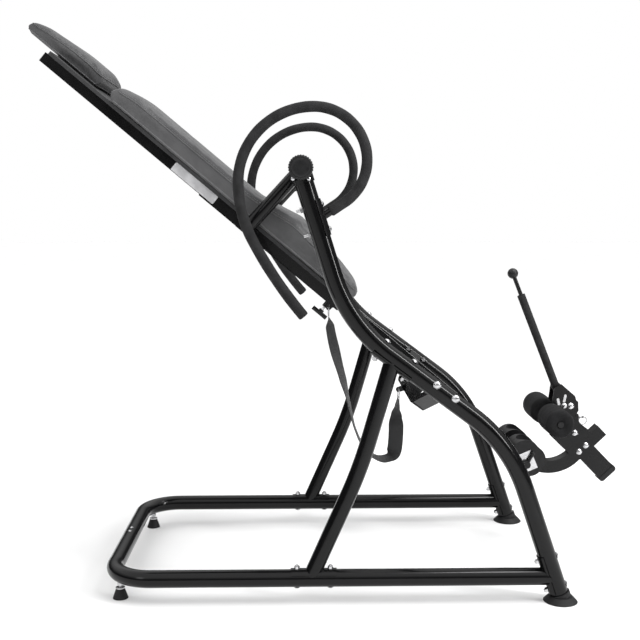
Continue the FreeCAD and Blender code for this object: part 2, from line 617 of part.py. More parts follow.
pad_outline = [
    (-520, PAD_LOW), (-534, 52), (-518, 76), (-460, 89), (-145, 89), (-50, 90), (30, 104), (85, 116),
    (150, 108), (263, 90), (318, 79), (338, 67), (343, 50), (334, PAD_LOW)]
keep("back_pad", bed_profile(pad_outline, PAD_HALF))
head_outline = [
    (-836, 34), (-842, 44), (-830, 59), (-790, 71), (-687, 82), (-620, 82), (-590, 72), (-580, 52),
    (-588, PAD_LOW),
    (-724, PAD_LOW), (-740, 33)]
keep("head_pad", bed_profile(head_outline, HEAD_HALF))

# ------------------------------------------------------------------ bed: pivot arms
arm_y = -ARM_Y
pivot_point = at(0, arm_y, PIVOT_Z)
arm_top = pivot_point
arm_low = bed(ARM_U, arm_y, rail_w + 6)
arm = rod(arm_top, arm_low, ARM_R).cut(rod(arm_top, arm_low - ABOVE * -1, ARM_R - TUBE_WALL))
knuckle = rod(at(0, arm_y - 20, PIVOT_Z), at(0, arm_y + 20, PIVOT_Z), 23.0)
shelf_in = RAIL_Y + RAIL_W / 2 + FIT
shelf = bed_block(ARM_U - 28, ARM_U + 28, -(ARM_Y + ARM_R), -shelf_in, RAIL_LOW, RAIL_LOW + 26)
shelf = shelf.cut(bed_block(
    ARM_U - 25, ARM_U + 25, -(ARM_Y + ARM_R - 3), -(RAIL_Y + RAIL_W / 2 + 4), RAIL_LOW - 1, RAIL_LOW + 23))
axle_out = HUB_OUT_Y - 4.0
arm = arm.cut(rod(at(0, arm_y - 21, PIVOT_Z), at(0, arm_y + 21, PIVOT_Z), 22.0))
arm = arm.fuse(knuckle).fuse(shelf).removeSplitter()
socket = (at(0, arm_y - 21, PIVOT_Z), at(0, arm_y + 10, PIVOT_Z), AXLE_R + FIT)
keep("pivot_arms", both([drill(arm, rail_holes + [socket])]))
axle = rod(at(0, arm_y + 9, PIVOT_Z), at(0, -axle_out, PIVOT_Z), AXLE_R)
shoulder = rod(at(0, arm_y - 20.4, PIVOT_Z), at(0, -HUB_IN_Y + 0.8, PIVOT_Z), 17.0)
keep("pivot_axles", both([axle.fuse(shoulder).removeSplitter()]))
arm_bolts = []
arm_nuts = []
for u in (ARM_U - 16.0, ARM_U + 16.0):
    head = bed(u, -(RAIL_Y + RAIL_W / 2 + 4.2), rail_w)
    arm_bolts.append(dome_bolt(head, Y_AXIS, RAIL_W + 4.2 + 11.0, 7.0, BOLT_R, 4.0))
    arm_nuts.append(hex_nut(bed(u, -(RAIL_Y - RAIL_W / 2 - 0.2), rail_w), Y_AXIS))
keep("arm_bolts", both(arm_bolts + arm_nuts))

# ------------------------------------------------------------------ lock pin under the bed
collar_out = pipe(bed(LOCK_U, 0, -SLEEVE / 2 - FIT), bed(LOCK_U, 0, -38), 9.0, 4.3)
collar_out = collar_out.cut(rod(bed(LOCK_U, 0, -24), bed(LOCK_U, 0, -36), 7.0))
keep("lock_pin_collar", collar_out)
pin = rod(bed(LOCK_U, 0, -BOOM / 2 - 0.6), bed(LOCK_U, 0, -60), 4.0)
pin = pin.fuse(rod(bed(LOCK_U, 0, -24.6), bed(LOCK_U, 0, -26.4), 6.5)).removeSplitter()
t_bar = rod(bed(LOCK_U - 26, 0, -61), bed(LOCK_U + 26, 0, -61), 6.5)
keep("lock_pin", pin.cut(t_bar))
t_bar = t_bar.fuse(rod(bed(LOCK_U, 0, -61), bed(LOCK_U, 0, -49), 8.0)).removeSplitter()
keep("lock_pin_grip", t_bar.cut(rod(bed(LOCK_U, 0, -40), bed(LOCK_U, 0, -60), 4.0)).cut(pin))


def coil(base, axis, radius, wire, length, turns):
    """An open spring round `axis`, from `base`, as stacked rings."""
    rings = []
    for i in range(turns):
        centre = base + axis * (length * (i + 0.5) / turns)
        rings.append(Part.makeTorus(radius, wire, centre, axis))
    return group(rings)


keep("lock_pin_spring", coil(bed(LOCK_U, 0, -27.2), ABOVE * -1, 5.6, 0.7, 8.4, 4))

# ------------------------------------------------------------------ boom
boom_start = bed(BOOM_TOP_U, 0, 0)
boom_axis = bent_path([boom_start, side(BOOM_BEND, 0), side(BOOM_END, 0)], [BOOM_BEND_R])
boom = flat_sweep(boom_axis, Y_AXIS, BOOM, BOOM)
boom = boom.cut(flat_sweep(boom_axis, Y_AXIS, BOOM - 2 * BOOM_WALL, BOOM - 2 * BOOM_WALL))
END_UP = unit(side(BOOM_BEND, 0), side(BOOM_END, 0))       # heading of the boom's turned-up end
END_DOWN = at(END_UP.z, 0, -END_UP.x)                      # square to it, down and forward
boom_holes = []
for i in range(BOOM_HOLES):
    u = LOCK_U + BOOM_HOLE_STEP * (i - 5)
    boom_holes.append((bed(u, 0, -30), bed(u, 0, -10), BOOM_HOLE_R))
plate_bolts = [(838.0, 396.0), (873.0, 357.0), (853.0, 337.0)]
for p in plate_bolts[1:]:
    boom_holes.append((side(p, -40), side(p, 40), HOLE))
keep("boom", drill(boom, boom_holes))
end_plug = block(side(BOOM_END, 0) + END_UP * 1.6, END_DOWN, Y_AXIS, END_UP, BOOM, BOOM, 3.0)
stopper = block(side(BOOM_END, 0) - END_UP * 7.0, END_DOWN, Y_AXIS, END_UP, BOOM - 4.6, BOOM - 4.6, 14.3)
top_plug = bed_block(BOOM_TOP_U - 3.1, BOOM_TOP_U - 0.1, -BOOM / 2, BOOM / 2, -BOOM / 2, BOOM / 2)
keep("boom_end_plugs", group([end_plug.fuse(stopper).removeSplitter(), top_plug]))

# heel cups: two moulded cups beside the boom, on a plate below it
CUP_U = (1000.0, 1111.0)
CUP_IN = 27.0
CUP_OUT = 114.0
CUP_LOW = -38.0
CUP_TOP = 56.0
SCOOP_R = 46.0
SCOOP_W = 78.0
CLAMP_U = 1063.0
CLAMP_W = -6.0
cup = bed_block(CUP_U[0], CUP_U[1], -CUP_OUT, -CUP_IN, CUP_LOW, CUP_TOP)
cup = cup.makeFillet(42.0, [e for e in cup.Edges if abs(e.Length - (CUP_OUT - CUP_IN)) < 0.01])
scoop_y = -(CUP_OUT + CUP_IN) / 2
cup = cup.cut(rod(bed(CUP_U[0] - 5, scoop_y, SCOOP_W), bed(CUP_U[1] + 5, scoop_y, SCOOP_W), SCOOP_R))
cup_bolts = []
for y in (-92.0, -48.0):
    cup_bolts.append(bed(1070, y, CUP_LOW - 4.0))
cup = drill(cup, [(p, p + ABOVE * 22, HOLE) for p in cup_bolts])
CLAMP = bed(CLAMP_U, -CUP_OUT, CLAMP_W)
cup_pair = [drill(cup, [(CLAMP - Y_AXIS, CLAMP + Y_AXIS * 22, HOLE)]), mirrored(cup)]
keep("heel_cup_left", cup_pair[0])
keep("heel_cup_right", cup_pair[1])
cup_plate = bed_block(1040, 1100, -108, 108, CUP_LOW - 3.8, CUP_LOW - 0.3)
boom_block = bed_block(1046, 1082, -18, 18, CUP_LOW - 0.3, -BOOM / 2 - 0.2)
plate_holes = [(p - ABOVE * 2, p + ABOVE * 6, HOLE) for p in cup_bolts]
plate_holes = plate_holes + [(at(a.x, -a.y, a.z), at(b.x, -b.y, b.z), r) for a, b, r in plate_holes]
keep("heel_plate", drill(cup_plate.fuse(boom_block).removeSplitter(), plate_holes))
heel_bolts = [dome_bolt(p, ABOVE, 20.0, 7.0, BOLT_R, 4.0) for p in cup_bolts]
boom_bolts = heel_bolts + [mirrored(b) for b in heel_bolts]

# bright plate and cam lever on the side of the left heel cup
turned = math.radians(-27.0)
plate_a = ALONG * math.cos(turned) + ABOVE * math.sin(turned)
plate_b = ABOVE * math.cos(turned) - ALONG * math.sin(turned)
clamp_plate = block(bed(CLAMP_U - 2, -CUP_OUT - 1.7, CLAMP_W + 8), plate_a, Y_AXIS, plate_b, 58, 2.6, 44)
keep("clamp_plate", drill(clamp_plate, [(CLAMP - Y_AXIS * 5, CLAMP + Y_AXIS * 2, HOLE)]))
boom_bolts.append(rod(CLAMP - Y_AXIS * 15, CLAMP + Y_AXIS * 21, BOLT_R))
knob = rod(CLAMP - Y_AXIS * 3.6, CLAMP - Y_AXIS * 17, 11.0)
tip = bed(CLAMP_U - 8, -CUP_OUT - 12, CLAMP_W + 38)
knob = knob.fuse(rod(CLAMP - Y_AXIS * 12, tip, 4.5)).fuse(Part.makeSphere(5.5, tip)).removeSplitter()
keep("cam_lever", knob.cut(rod(CLAMP + Y_AXIS, CLAMP - Y_AXIS * 15.2, BOLT_R + 0.08)))

# bracket plates at the end of the boom
PLATE_IN = BOOM / 2 + 0.3
PLATE_OUT = PLATE_IN + 3.0
bracket_outline = [
    (808, 466), (810, 497), (832, 502), (845, 494), (847, 466), (838, 450), (851, 427), (876, 409),
    (893, 385), (893, 348), (868, 319), (850, 311), (826, 328), (809, 344), (771, 381), (771, 399), (800, 440)]
bracket = plate(bracket_outline, -PLATE_OUT, -PLATE_IN)
LEVER_PIVOT = (822.0, 481.0)
ARM_PIVOT = plate_bolts[0]
bracket_holes = [(side(p, -60), side(p, 0), HOLE) for p in plate_bolts]
bracket_holes.append((side(LEVER_PIVOT, -60), side(LEVER_PIVOT, 0), 5.06))
keep("end_brackets", both([drill(bracket, bracket_holes)]))
for p in plate_bolts:
    boom_bolts.append(dome_bolt(side(p, -PLATE_OUT - 0.1), Y_AXIS, 2 * PLATE_OUT + NUT_H + 1))
    boom_bolts.append(hex_nut(side(p, PLATE_OUT + 0.1), Y_AXIS))
keep("boom_bolts", group(boom_bolts))

# block under the boom's end, with a rounded lower cap
FOOT_MID = side((865.2, 348.1), 0)      # on the boom's centre line
FOOT_W = 58.0
post = block(FOOT_MID + END_DOWN * 62.2, END_UP, Y_AXIS, END_DOWN, FOOT_W, BOOM, 86.0)
post = post.cut(block(FOOT_MID + END_DOWN * 64.2, END_UP, Y_AXIS, END_DOWN, FOOT_W - 5, BOOM - 5, 86.0))
keep("foot_block", post)
shoe = block(FOOT_MID + END_DOWN * 113.0, END_UP, Y_AXIS, END_DOWN, FOOT_W + 4.0, BOOM + 4.0, 15.0)
far = FOOT_MID + END_DOWN * 120.5
shoe_edges = []
for e in shoe.Edges:
    spot = (e.CenterOfMass - far).dot(END_DOWN)
    if abs(e.Length - BOOM - 4.0) < 0.01 and abs(spot) < 0.1:
        shoe_edges.append(e)
keep("foot_block_shoe", shoe.makeFillet(9.0, shoe_edges))

# ring pin in the crook of the bracket
RING_PIVOT = side((838.0, 443.0), 0)
RING_R = 12.0
barrel = pipe(RING_PIVOT, RING_PIVOT + X_AXIS * 14, 8.0, 4.1)
barrel = barrel.cut(rod(RING_PIVOT + X_AXIS * 3, RING_PIVOT + X_AXIS * 12, 6.6))
barrel_web = block(RING_PIVOT + X_AXIS * 7, X_AXIS, Y_AXIS, Z_AXIS, 8, 2 * PLATE_IN - 0.4, 20)
barrel_web = barrel_web.cut(rod(RING_PIVOT - X_AXIS * 5, RING_PIVOT + X_AXIS * 40, 7.5))
keep("ring_pin_barrel", barrel_web.fuse(barrel).removeSplitter())
plunger = rod(RING_PIVOT + X_AXIS * 0.6, RING_PIVOT + X_AXIS * 29, 4.0)
plunger = plunger.fuse(rod(RING_PIVOT + X_AXIS * 3.4, RING_PIVOT + X_AXIS * 4.8, 6.2))
plunger = plunger.fuse(Part.makeSphere(5.6, RING_PIVOT + X_AXIS * 29)).removeSplitter()
eye = RING_PIVOT + X_AXIS * 29 - Z_AXIS * RING_R
plunger = plunger.cut(Part.makeTorus(RING_R, 1.6, eye, Y_AXIS))
keep("ring_pin", group([plunger, Part.makeTorus(RING_R, 1.4, eye, Y_AXIS)]))
keep("ring_pin_spring", coil(RING_PIVOT + X_AXIS * 5.2, X_AXIS, 5.4, 0.7, 6.4, 3))

# ------------------------------------------------------------------ ankle clamp
ROLLER = (757.0, 452.0)
ROLLER_R = 42.0
ROLLER_IN = 34.0
ROLLER_OUT = 160.0
ARM_IN = 12.0
ARM_OUT = 16.0


clamp_arm = strap_plate(ARM_PIVOT, ROLLER, 12.0, 16.0, -ARM_OUT, -ARM_IN)
arm_bores = [
    (side(ARM_PIVOT, -20), side(ARM_PIVOT, 20), BOLT_R + 0.08),
    (side(ROLLER, -20), side(ROLLER, 20), 9.1)]
keep("clamp_arms", both([drill(clamp_arm, arm_bores)]))
keep("roller_axle", pipe(side(ROLLER, -ROLLER_OUT + 6), side(ROLLER, ROLLER_OUT - 6), 9.0, 7.0))
roller = pipe(side(ROLLER, -ROLLER_OUT), side(ROLLER, -ROLLER_IN), ROLLER_R, 9.15)
rims = [e for e in roller.Edges if abs(e.Length - 2 * math.pi * ROLLER_R) < 0.1]
roller = roller.makeFillet(7.0, rims)
keep_pair("ankle_roller", roller)
roller_plug = rod(side(ROLLER, -ROLLER_OUT + 5.8), side(ROLLER, -ROLLER_OUT + 2), 8.9)
roller_spigot = rod(side(ROLLER, -ROLLER_OUT + 20), side(ROLLER, -ROLLER_OUT + 5), 6.9)
keep("roller_plugs", both([roller_plug.fuse(roller_spigot).removeSplitter()]))

# ------------------------------------------------------------------ ankle lever
LEVER_FOOT = (783.0, 531.0)
LEVER_NECK = (667.0, 819.0)
LEVER_LENGTH = 377.0       # hinge end of the shaft to its top
GRIP_TUBE_R = 12.0
lever_dir = unit(side(LEVER_FOOT, 0), side(LEVER_NECK, 0))
lever_top = side(LEVER_FOOT, 0) + lever_dir * LEVER_LENGTH
fork_outline = [
    (765, 494), (770, 538), (791, 549), (834, 512), (842, 486), (832, 467), (812, 464), (782, 480)]
fork = plate(fork_outline, -PLATE_OUT - 4.0, -PLATE_OUT - 1.0)
fork_bore = (side(LEVER_PIVOT, -60), side(LEVER_PIVOT, 60), 5.1)
link_pin = (802.0, 482.0)
forks = [drill(fork, [fork_bore, (side(link_pin, -60), side(link_pin, 60), HOLE)])]
lever_across = at(-lever_dir.z, 0, lever_dir.x)
web = block(side(LEVER_FOOT, 0), lever_dir, Y_AXIS, lever_across, 24, 2 * PLATE_OUT + 2.0, 23)
web = web.cut(rod(side(LEVER_FOOT, 0) - lever_dir * 40, side(LEVER_NECK, 0), GRIP_TUBE_R - 2.9))
keep("lever_fork", forks[0].fuse([mirrored(forks[0]), web]).removeSplitter())
lever_tube = pipe(side(LEVER_FOOT, 0) + lever_dir * 12, side(LEVER_NECK, 0), GRIP_TUBE_R, 6.1)
keep("lever_grip", lever_tube)
shaft = rod(side(LEVER_FOOT, 0) - lever_dir * 4, lever_top, 6.0)
shaft_foot = rod(side(LEVER_FOOT, 0) - lever_dir * 10, side(LEVER_FOOT, 0) + lever_dir * 11.8, 9.0)
shaft = shaft.fuse(shaft_foot).removeSplitter()
knob_ball = Part.makeSphere(16.0, lever_top + lever_dir * 4)
keep("lever_shaft", shaft.cut(knob_ball))
keep("lever_knob", knob_ball)
pivot_pin = dome_bolt(side(LEVER_PIVOT, -PLATE_OUT - 4.2), Y_AXIS, 2 * PLATE_OUT + 8.4 + NUT_H, 10.0, 5.0)
pivot_nut = hex_nut(side(LEVER_PIVOT, PLATE_OUT + 4.3), Y_AXIS, 16.0, NUT_H, 5.08)
link_pins = dome_bolt(side(link_pin, -PLATE_OUT - 4.2), Y_AXIS, 3.8, 9.0)
keep("lever_bolts", group([pivot_pin, pivot_nut, link_pins, mirrored(link_pins)]))

# ------------------------------------------------------------------ tether strap and its clips
def wire_loop(x, z_low, z_high, half_width, wire=2.0):
    """A rectangular wire loop in the plane at x, from z_low to z_high."""
    y0 = STRAP_Y - half_width
    y1 = STRAP_Y + half_width
    corners = [at(x, y0, z_low), at(x, y1, z_low), at(x, y1, z_high), at(x, y0, z_high)]
    pieces = [rod(a, b, wire) for a, b in zip(corners, corners[1:] + corners[:1])]
    for y in (y0, y1):
        for z in (z_low, z_high):
            pieces.append(Part.makeSphere(wire, at(x, y, z)))
    loop = pieces[0]
    for piece in pieces[1:]:
        loop = loop.fuse(piece)
    return loop.removeSplitter()


keep("tether_clip", wire_loop(CLIP_X, CLIP_Z + 2.05, CLIP_WIRE[1], 24.0))
keep("tether_hook", wire_loop(HOOK_X, HOOK_Z + 2.05, HOOK_WIRE[1], 24.0))


def strap_axis(route):
    points = [side(p, STRAP_Y) for p in route]
    radii = []
    for i in range(1, len(points) - 1):
        into = points[i] - points[i - 1]
        out = points[i + 1] - points[i]
        turn = into.getAngle(out)
        radii.append(0.45 * min(into.Length, out.Length) / math.tan(turn / 2))
    print("strap bend radii:", ", ".join("%.0f" % r for r in radii))
    return bent_path(points, radii)


strap_path = strap_axis(STRAP_ROUTE)
strap = flat_sweep(strap_path, Y_AXIS, STRAP_WIDTH, STRAP_T)
print("strap length %.1f, volume ratio %.4f" % (
    strap_path.Length, strap.Volume / (strap_path.Length * STRAP_WIDTH * STRAP_T)))
keep("tether_strap", strap)

# ------------------------------------------------------------------ write the parts
whole = FreeCAD.BoundBox()
for name, shape in PARTS.items():
    shape.translate(at(-CENTRE_X, 0, 0))
    if name != "tether_strap":
        whole.add(shape.BoundBox)
    if not shape.isValid():
        print("not valid:", name)
    shape.exportStep("parts/" + name + ".step")
print("%d nodes, x %.2f..%.2f, y %.2f..%.2f, z %.2f..%.2f" % (
    len(PARTS), whole.XMin, whole.XMax, whole.YMin, whole.YMax, whole.ZMin, whole.ZMax))
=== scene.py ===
import json
import math
import bpy
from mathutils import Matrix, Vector
from mathutils.bvhtree import BVHTree


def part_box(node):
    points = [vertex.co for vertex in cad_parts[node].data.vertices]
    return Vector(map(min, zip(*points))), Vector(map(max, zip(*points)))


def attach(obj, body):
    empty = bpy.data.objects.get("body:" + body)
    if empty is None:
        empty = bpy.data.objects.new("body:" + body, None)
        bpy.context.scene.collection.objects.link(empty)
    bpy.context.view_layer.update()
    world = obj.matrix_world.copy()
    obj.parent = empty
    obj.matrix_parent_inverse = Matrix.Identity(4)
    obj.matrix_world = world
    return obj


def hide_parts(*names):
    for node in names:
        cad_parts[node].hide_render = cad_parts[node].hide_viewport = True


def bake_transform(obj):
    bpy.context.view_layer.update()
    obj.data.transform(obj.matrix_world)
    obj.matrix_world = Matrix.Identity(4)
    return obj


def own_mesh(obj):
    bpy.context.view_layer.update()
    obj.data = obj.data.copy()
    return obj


# Inversion table.  Metres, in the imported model's frame: +X towards the ankle end, +Z up.

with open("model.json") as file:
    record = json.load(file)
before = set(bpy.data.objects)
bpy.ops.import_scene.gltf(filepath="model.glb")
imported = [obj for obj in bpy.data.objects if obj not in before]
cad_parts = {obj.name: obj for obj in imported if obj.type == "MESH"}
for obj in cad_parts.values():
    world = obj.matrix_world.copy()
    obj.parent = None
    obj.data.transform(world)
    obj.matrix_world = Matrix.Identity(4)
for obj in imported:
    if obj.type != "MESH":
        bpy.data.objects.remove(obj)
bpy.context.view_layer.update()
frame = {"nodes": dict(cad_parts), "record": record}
NODES = frame["nodes"]

# ---------------------------------------------------------------- places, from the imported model
JOINTS = {joint["name"]: joint for joint in frame["record"]["behaviour"]["joints"]}
PIVOT = Vector(JOINTS["table_tilt"]["pos_m"])
ALONG = Vector(JOINTS["boom_slide"]["axis"])          # along the bed, towards the ankles
ABOVE = -Vector(JOINTS["lock_pin_pull"]["axis"])      # square to the bed, upwards
SIDEWAYS = Vector((0, 1, 0))
PIVOT_DROP = 0.223                                    # pivot axis to the boom's centre line
BED = PIVOT - ABOVE * PIVOT_DROP


def bed(u, y, w):
    """A point of the bed: u along it from the pivot, w above the boom's centre line."""
    point = BED + ALONG * u + ABOVE * w
    return Vector((point.x, y, point.z))


def to_bed(point):
    """The (u, y, w) of a point."""
    rel = point - BED
    return rel.dot(ALONG), point.y, rel.dot(ABOVE)


# ---------------------------------------------------------------- camera and light
CAMERA_DISTANCE = 2.9
CAMERA_HEIGHT = 1.075
CAMERA_DOWN = math.radians(6.51)
CAMERA_TURN = math.radians(1.13)
CAMERA_LENS = 54.2             # millimetres, on a sensor 36 wide

LIGHTS = [                     # name, place, aim, width, height, power
    ("top", (1.4, -0.6, 3.6), (0.1, 0, 0.5), 2.2, 0.7, 55),
    ("right", (3.2, -1.8, 2.4), (0.2, 0, 0.7), 0.4, 2.4, 85),
    ("front", (-2.6, -3.6, 2.2), (0, 0, 0.6), 1.0, 1.6, 14)]

WHITE = (1.0, 1.0, 1.0, 1)
DOME = {                       # from the height of a direction to the strength of the light from there
    "From Min": 0.22, "From Max": 0.62, "To Min": 0.06, "To Max": 1.48}

camera = bpy.data.objects.new("camera", bpy.data.cameras.new("camera"))
bpy.context.collection.objects.link(camera)
camera.location = (PIVOT.x, -CAMERA_DISTANCE, CAMERA_HEIGHT)
camera.rotation_euler = (math.radians(90) - CAMERA_DOWN, 0, -CAMERA_TURN)
camera.data.sensor_width = 36.0
camera.data.lens = CAMERA_LENS
camera.data.clip_end = 60.0
bpy.context.scene.camera = camera


def area_light(name, place, aim, width, height, power):
    lamp = bpy.data.lights.new(name, "AREA")
    lamp.shape = "RECTANGLE"
    lamp.size = width
    lamp.size_y = height
    lamp.energy = power
    obj = bpy.data.objects.new(name, lamp)
    bpy.context.collection.objects.link(obj)
    obj.location = place
    obj.rotation_euler = (Vector(aim) - Vector(place)).to_track_quat("-Z", "Y").to_euler()


def studio():
    """A world that looks plain white, and lights surfaces as a dome, dark low down and bright overhead."""
    world = bpy.data.worlds.new("studio")
    world.use_nodes = True
    nodes = world.node_tree.nodes
    link = world.node_tree.links.new
    seen = nodes["Background"]
    seen.inputs["Color"].default_value = WHITE
    seen.inputs["Strength"].default_value = 1.0
    dome = nodes.new("ShaderNodeBackground")
    dome.inputs["Color"].default_value = WHITE
    facing = nodes.new("ShaderNodeTexCoord")
    split = nodes.new("ShaderNodeSeparateXYZ")
    ramp = nodes.new("ShaderNodeMapRange")
    for socket, number in DOME.items():
        ramp.inputs[socket].default_value = number
    rays = nodes.new("ShaderNodeLightPath")
    choice = nodes.new("ShaderNodeMixShader")
    link(facing.outputs["Generated"], split.inputs["Vector"])
    link(split.outputs["Z"], ramp.inputs["Value"])
    link(ramp.outputs["Result"], dome.inputs["Strength"])
    link(rays.outputs["Is Camera Ray"], choice.inputs["Fac"])
    link(dome.outputs["Background"], choice.inputs[1])
    link(seen.outputs["Background"], choice.inputs[2])
    link(choice.outputs["Shader"], nodes["World Output"].inputs["Surface"])
    return world


for light in LIGHTS:
    area_light(*light)
bpy.context.scene.world = studio()
bpy.context.scene.view_settings.view_transform = "Standard"


# ---------------------------------------------------------------- materials
class Shader:
    """A node material whose colour, roughness and bump vary in the object's own space."""

    def __init__(self, name, color, rough, metal=0.0, **sockets):
        self.material = bpy.data.materials.new(name)
        self.material.use_nodes = True
        self.tree = self.material.node_tree
        self.bsdf = self.tree.nodes["Principled BSDF"]
        self.color = (*color, 1)
        self.rough = rough
        self.bsdf.inputs["Base Color"].default_value = self.color
        self.bsdf.inputs["Roughness"].default_value = rough
        self.bsdf.inputs["Metallic"].default_value = metal
        for socket, value in sockets.items():
            self.bsdf.inputs[socket.replace("_", " ")].default_value = value
        self.place = self.tree.nodes.new("ShaderNodeTexCoord").outputs["Object"]
        self.height = None

    def link(self, a, b):
        self.tree.links.new(a, b)

    def node(self, kind, **values):
        made = self.tree.nodes.new(kind)
        for key, value in values.items():
            if key in made.inputs:
                made.inputs[key].default_value = value
            else:
                setattr(made, key, value)
        return made

    def texture(self, kind, output, **values):
        """A texture's output, read in the object's own space."""
        made = self.node(kind, **values)
        self.link(self.place, made.inputs["Vector"])
        return made.outputs[output]

    def noise(self, scale, detail=3.0, rough=0.5):
        return self.texture("ShaderNodeTexNoise", "Fac", Scale=scale, Detail=detail, Roughness=rough)

    def cells(self, scale, feature="F1"):
        return self.texture("ShaderNodeTexVoronoi", "Distance", Scale=scale, feature=feature)

    def waves(self, scale, direction, distortion, detail):
        return self.texture("ShaderNodeTexWave", "Fac", Scale=scale, Distortion=distortion, Detail=detail,
                            bands_direction=direction)

    def spread(self, value, low, high, out_low, out_high):
        made = self.node("ShaderNodeMapRange")
        limits = (("From Min", low), ("From Max", high), ("To Min", out_low), ("To Max", out_high))
        for socket, number in limits:
            made.inputs[socket].default_value = number
        self.link(value, made.inputs["Value"])
        return made.outputs["Result"]

    def tint(self, value, other, low=0.35, high=0.65):
        """The base colour moves towards another one where the value is high."""
        mix = self.node("ShaderNodeMix", data_type="RGBA")
        mix.inputs[6].default_value = self.color
        mix.inputs[7].default_value = (*other, 1)
        self.link(self.spread(value, low, high, 0.0, 1.0), mix.inputs["Factor"])
        self.link(mix.outputs[2], self.bsdf.inputs["Base Color"])
        return self

    def vary(self, value, swing):
        """The roughness swings either way with the value."""
        varied = self.spread(value, 0.3, 0.7, self.rough - swing, self.rough + swing)
        self.link(varied, self.bsdf.inputs["Roughness"])
        return self

    def bump(self, value, strength, depth=0.001):
        """One more layer of relief."""
        made = self.node("ShaderNodeBump", Strength=strength, Distance=depth)
        self.link(value, made.inputs["Height"])
        if self.height:
            self.link(self.height, made.inputs["Normal"])
        self.height = made.outputs["Normal"]
        self.link(self.height, self.bsdf.inputs["Normal"])
        return self


def scaled(color, factor):
    return [channel * factor for channel in color]


def paint(name, color, rough):
    """Glossy powder coat with a slight orange peel."""
    s = Shader(name, color, rough, Specular_IOR_Level=0.18, Coat_Weight=0.12, Coat_Roughness=0.06)
    s.tint(s.noise(7.0), scaled(color, 1.5))
    s.vary(s.noise(26.0, 5.0), 0.04)
    return s.bump(s.noise(160.0, 2.0), 0.03, 0.0005).material


def foam_rubber(name, color):
    """Matt foam with fine open cells."""
    s = Shader(name, color, 0.82, Specular_IOR_Level=0.2)
    s.tint(s.noise(40.0, 4.0), scaled(color, 1.6))
    return s.bump(s.cells(900.0), 0.35, 0.0006).bump(s.noise(260.0, 4.0), 0.3, 0.0008).material


def moulded(name, color, rough):
    """Moulded plastic or rubber with a fine pebbled skin."""
    s = Shader(name, color, rough, Specular_IOR_Level=0.3)
    s.tint(s.noise(30.0, 3.0), scaled(color, 1.4))
    s.vary(s.noise(70.0, 4.0), 0.08)
    return s.bump(s.cells(1100.0), 0.12, 0.0003).material


def bright(name, color, rough):
    """Plated steel, a little dulled in patches."""
    s = Shader(name, color, rough, 1.0, Anisotropic=0.3)
    s.tint(s.noise(60.0, 6.0), scaled(color, 0.72))
    s.vary(s.noise(140.0, 5.0), 0.09)
    return s.bump(s.noise(700.0, 4.0), 0.08, 0.0003).material


def cover(name, color, light):
    """Grained padded cover: leathery pebbles, soft creases and slow colour changes."""
    s = Shader(name, color, 0.60, Sheen_Weight=0.08, Sheen_Roughness=0.5, Specular_IOR_Level=0.35)
    s.tint(s.noise(16.0, 5.0, 0.6), light, 0.40, 0.78)
    s.vary(s.noise(35.0, 4.0), 0.07)
    s.bump(s.cells(420.0, "SMOOTH_F1"), 0.05, 0.0004)
    return s.bump(s.noise(22.0, 4.0, 0.5), 0.14, 0.003).bump(s.noise(200.0, 2.0), 0.03, 0.0004).material


def woven(name, color):
    """Webbing, with slanted threads crossed by level ones."""
    s = Shader(name, color, 0.8, Sheen_Weight=0.2)
    slanted = s.waves(230.0, "DIAGONAL", 1.0, 1.0)
    level = s.waves(310.0, "Z", 0.6, 2.0)
    s.tint(slanted, scaled(color, 1.8), 0.2, 0.8)
    return s.bump(slanted, 0.4, 0.0008).bump(level, 0.3, 0.0006).material


def floor_finish(name, color, other):
    """Matt studio floor in two nearly equal tones."""
    s = Shader(name, color, 0.8, Specular_IOR_Level=0.2)
    return s.tint(s.noise(1.5, 2.0), other).material


MATERIALS = {
    "frame_paint": paint("frame_paint", (0.0025, 0.0025, 0.0027), 0.17),
    "black_steel": paint("black_steel", (0.0028, 0.0028, 0.0030), 0.26),
    "bright_steel": bright("bright_steel", (0.60, 0.60, 0.61), 0.22),
    "spring_steel": bright("spring_steel", (0.45, 0.45, 0.46), 0.25),
    "black_rubber": moulded("black_rubber", (0.007, 0.007, 0.0075), 0.62),
    "foam": foam_rubber("foam", (0.014, 0.014, 0.0145)),
    "black_plastic": moulded("black_plastic", (0.006, 0.006, 0.0065), 0.42),
    "board": moulded("board", (0.030, 0.030, 0.031), 0.6),
    "pad_cover": cover("pad_cover", (0.072, 0.072, 0.074), (0.100, 0.100, 0.102)),
    "webbing": woven("webbing", (0.007, 0.007, 0.0075)),
}
ROLLER_FOAM = foam_rubber("roller_foam", (0.006, 0.006, 0.0065))
THREAD = foam_rubber("thread", (0.16, 0.16, 0.165))
PIPING = cover("piping", (0.10, 0.10, 0.103), (0.15, 0.15, 0.154))
LABEL = moulded("label", (0.46, 0.46, 0.47), 0.45)
FLOOR = floor_finish("floor", (0.86, 0.86, 0.86), (0.84, 0.84, 0.84))

for entry in frame["record"]["subparts"]:
    node = NODES[entry["node"]]
    finish = MATERIALS[entry["material_slot"]]
    if not node.material_slots:
        node.data.materials.append(finish)
    for held in node.material_slots:
        held.material = finish


# ---------------------------------------------------------------- making pieces
def piece(name, mesh, material, body, smooth=True):
    """A new object of one mesh, put under its body's empty if it has a body."""
    obj = bpy.data.objects.new(name, mesh)
    bpy.context.collection.objects.link(obj)
    mesh.materials.append(material)
    for polygon in mesh.polygons:
        polygon.use_smooth = smooth
    if body:
        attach(obj, body)
    return obj


def mesh_of(name, vertices, faces):
    mesh = bpy.data.meshes.new(name)
    mesh.from_pydata([tuple(v) for v in vertices], [], faces)
    mesh.update()
    return mesh


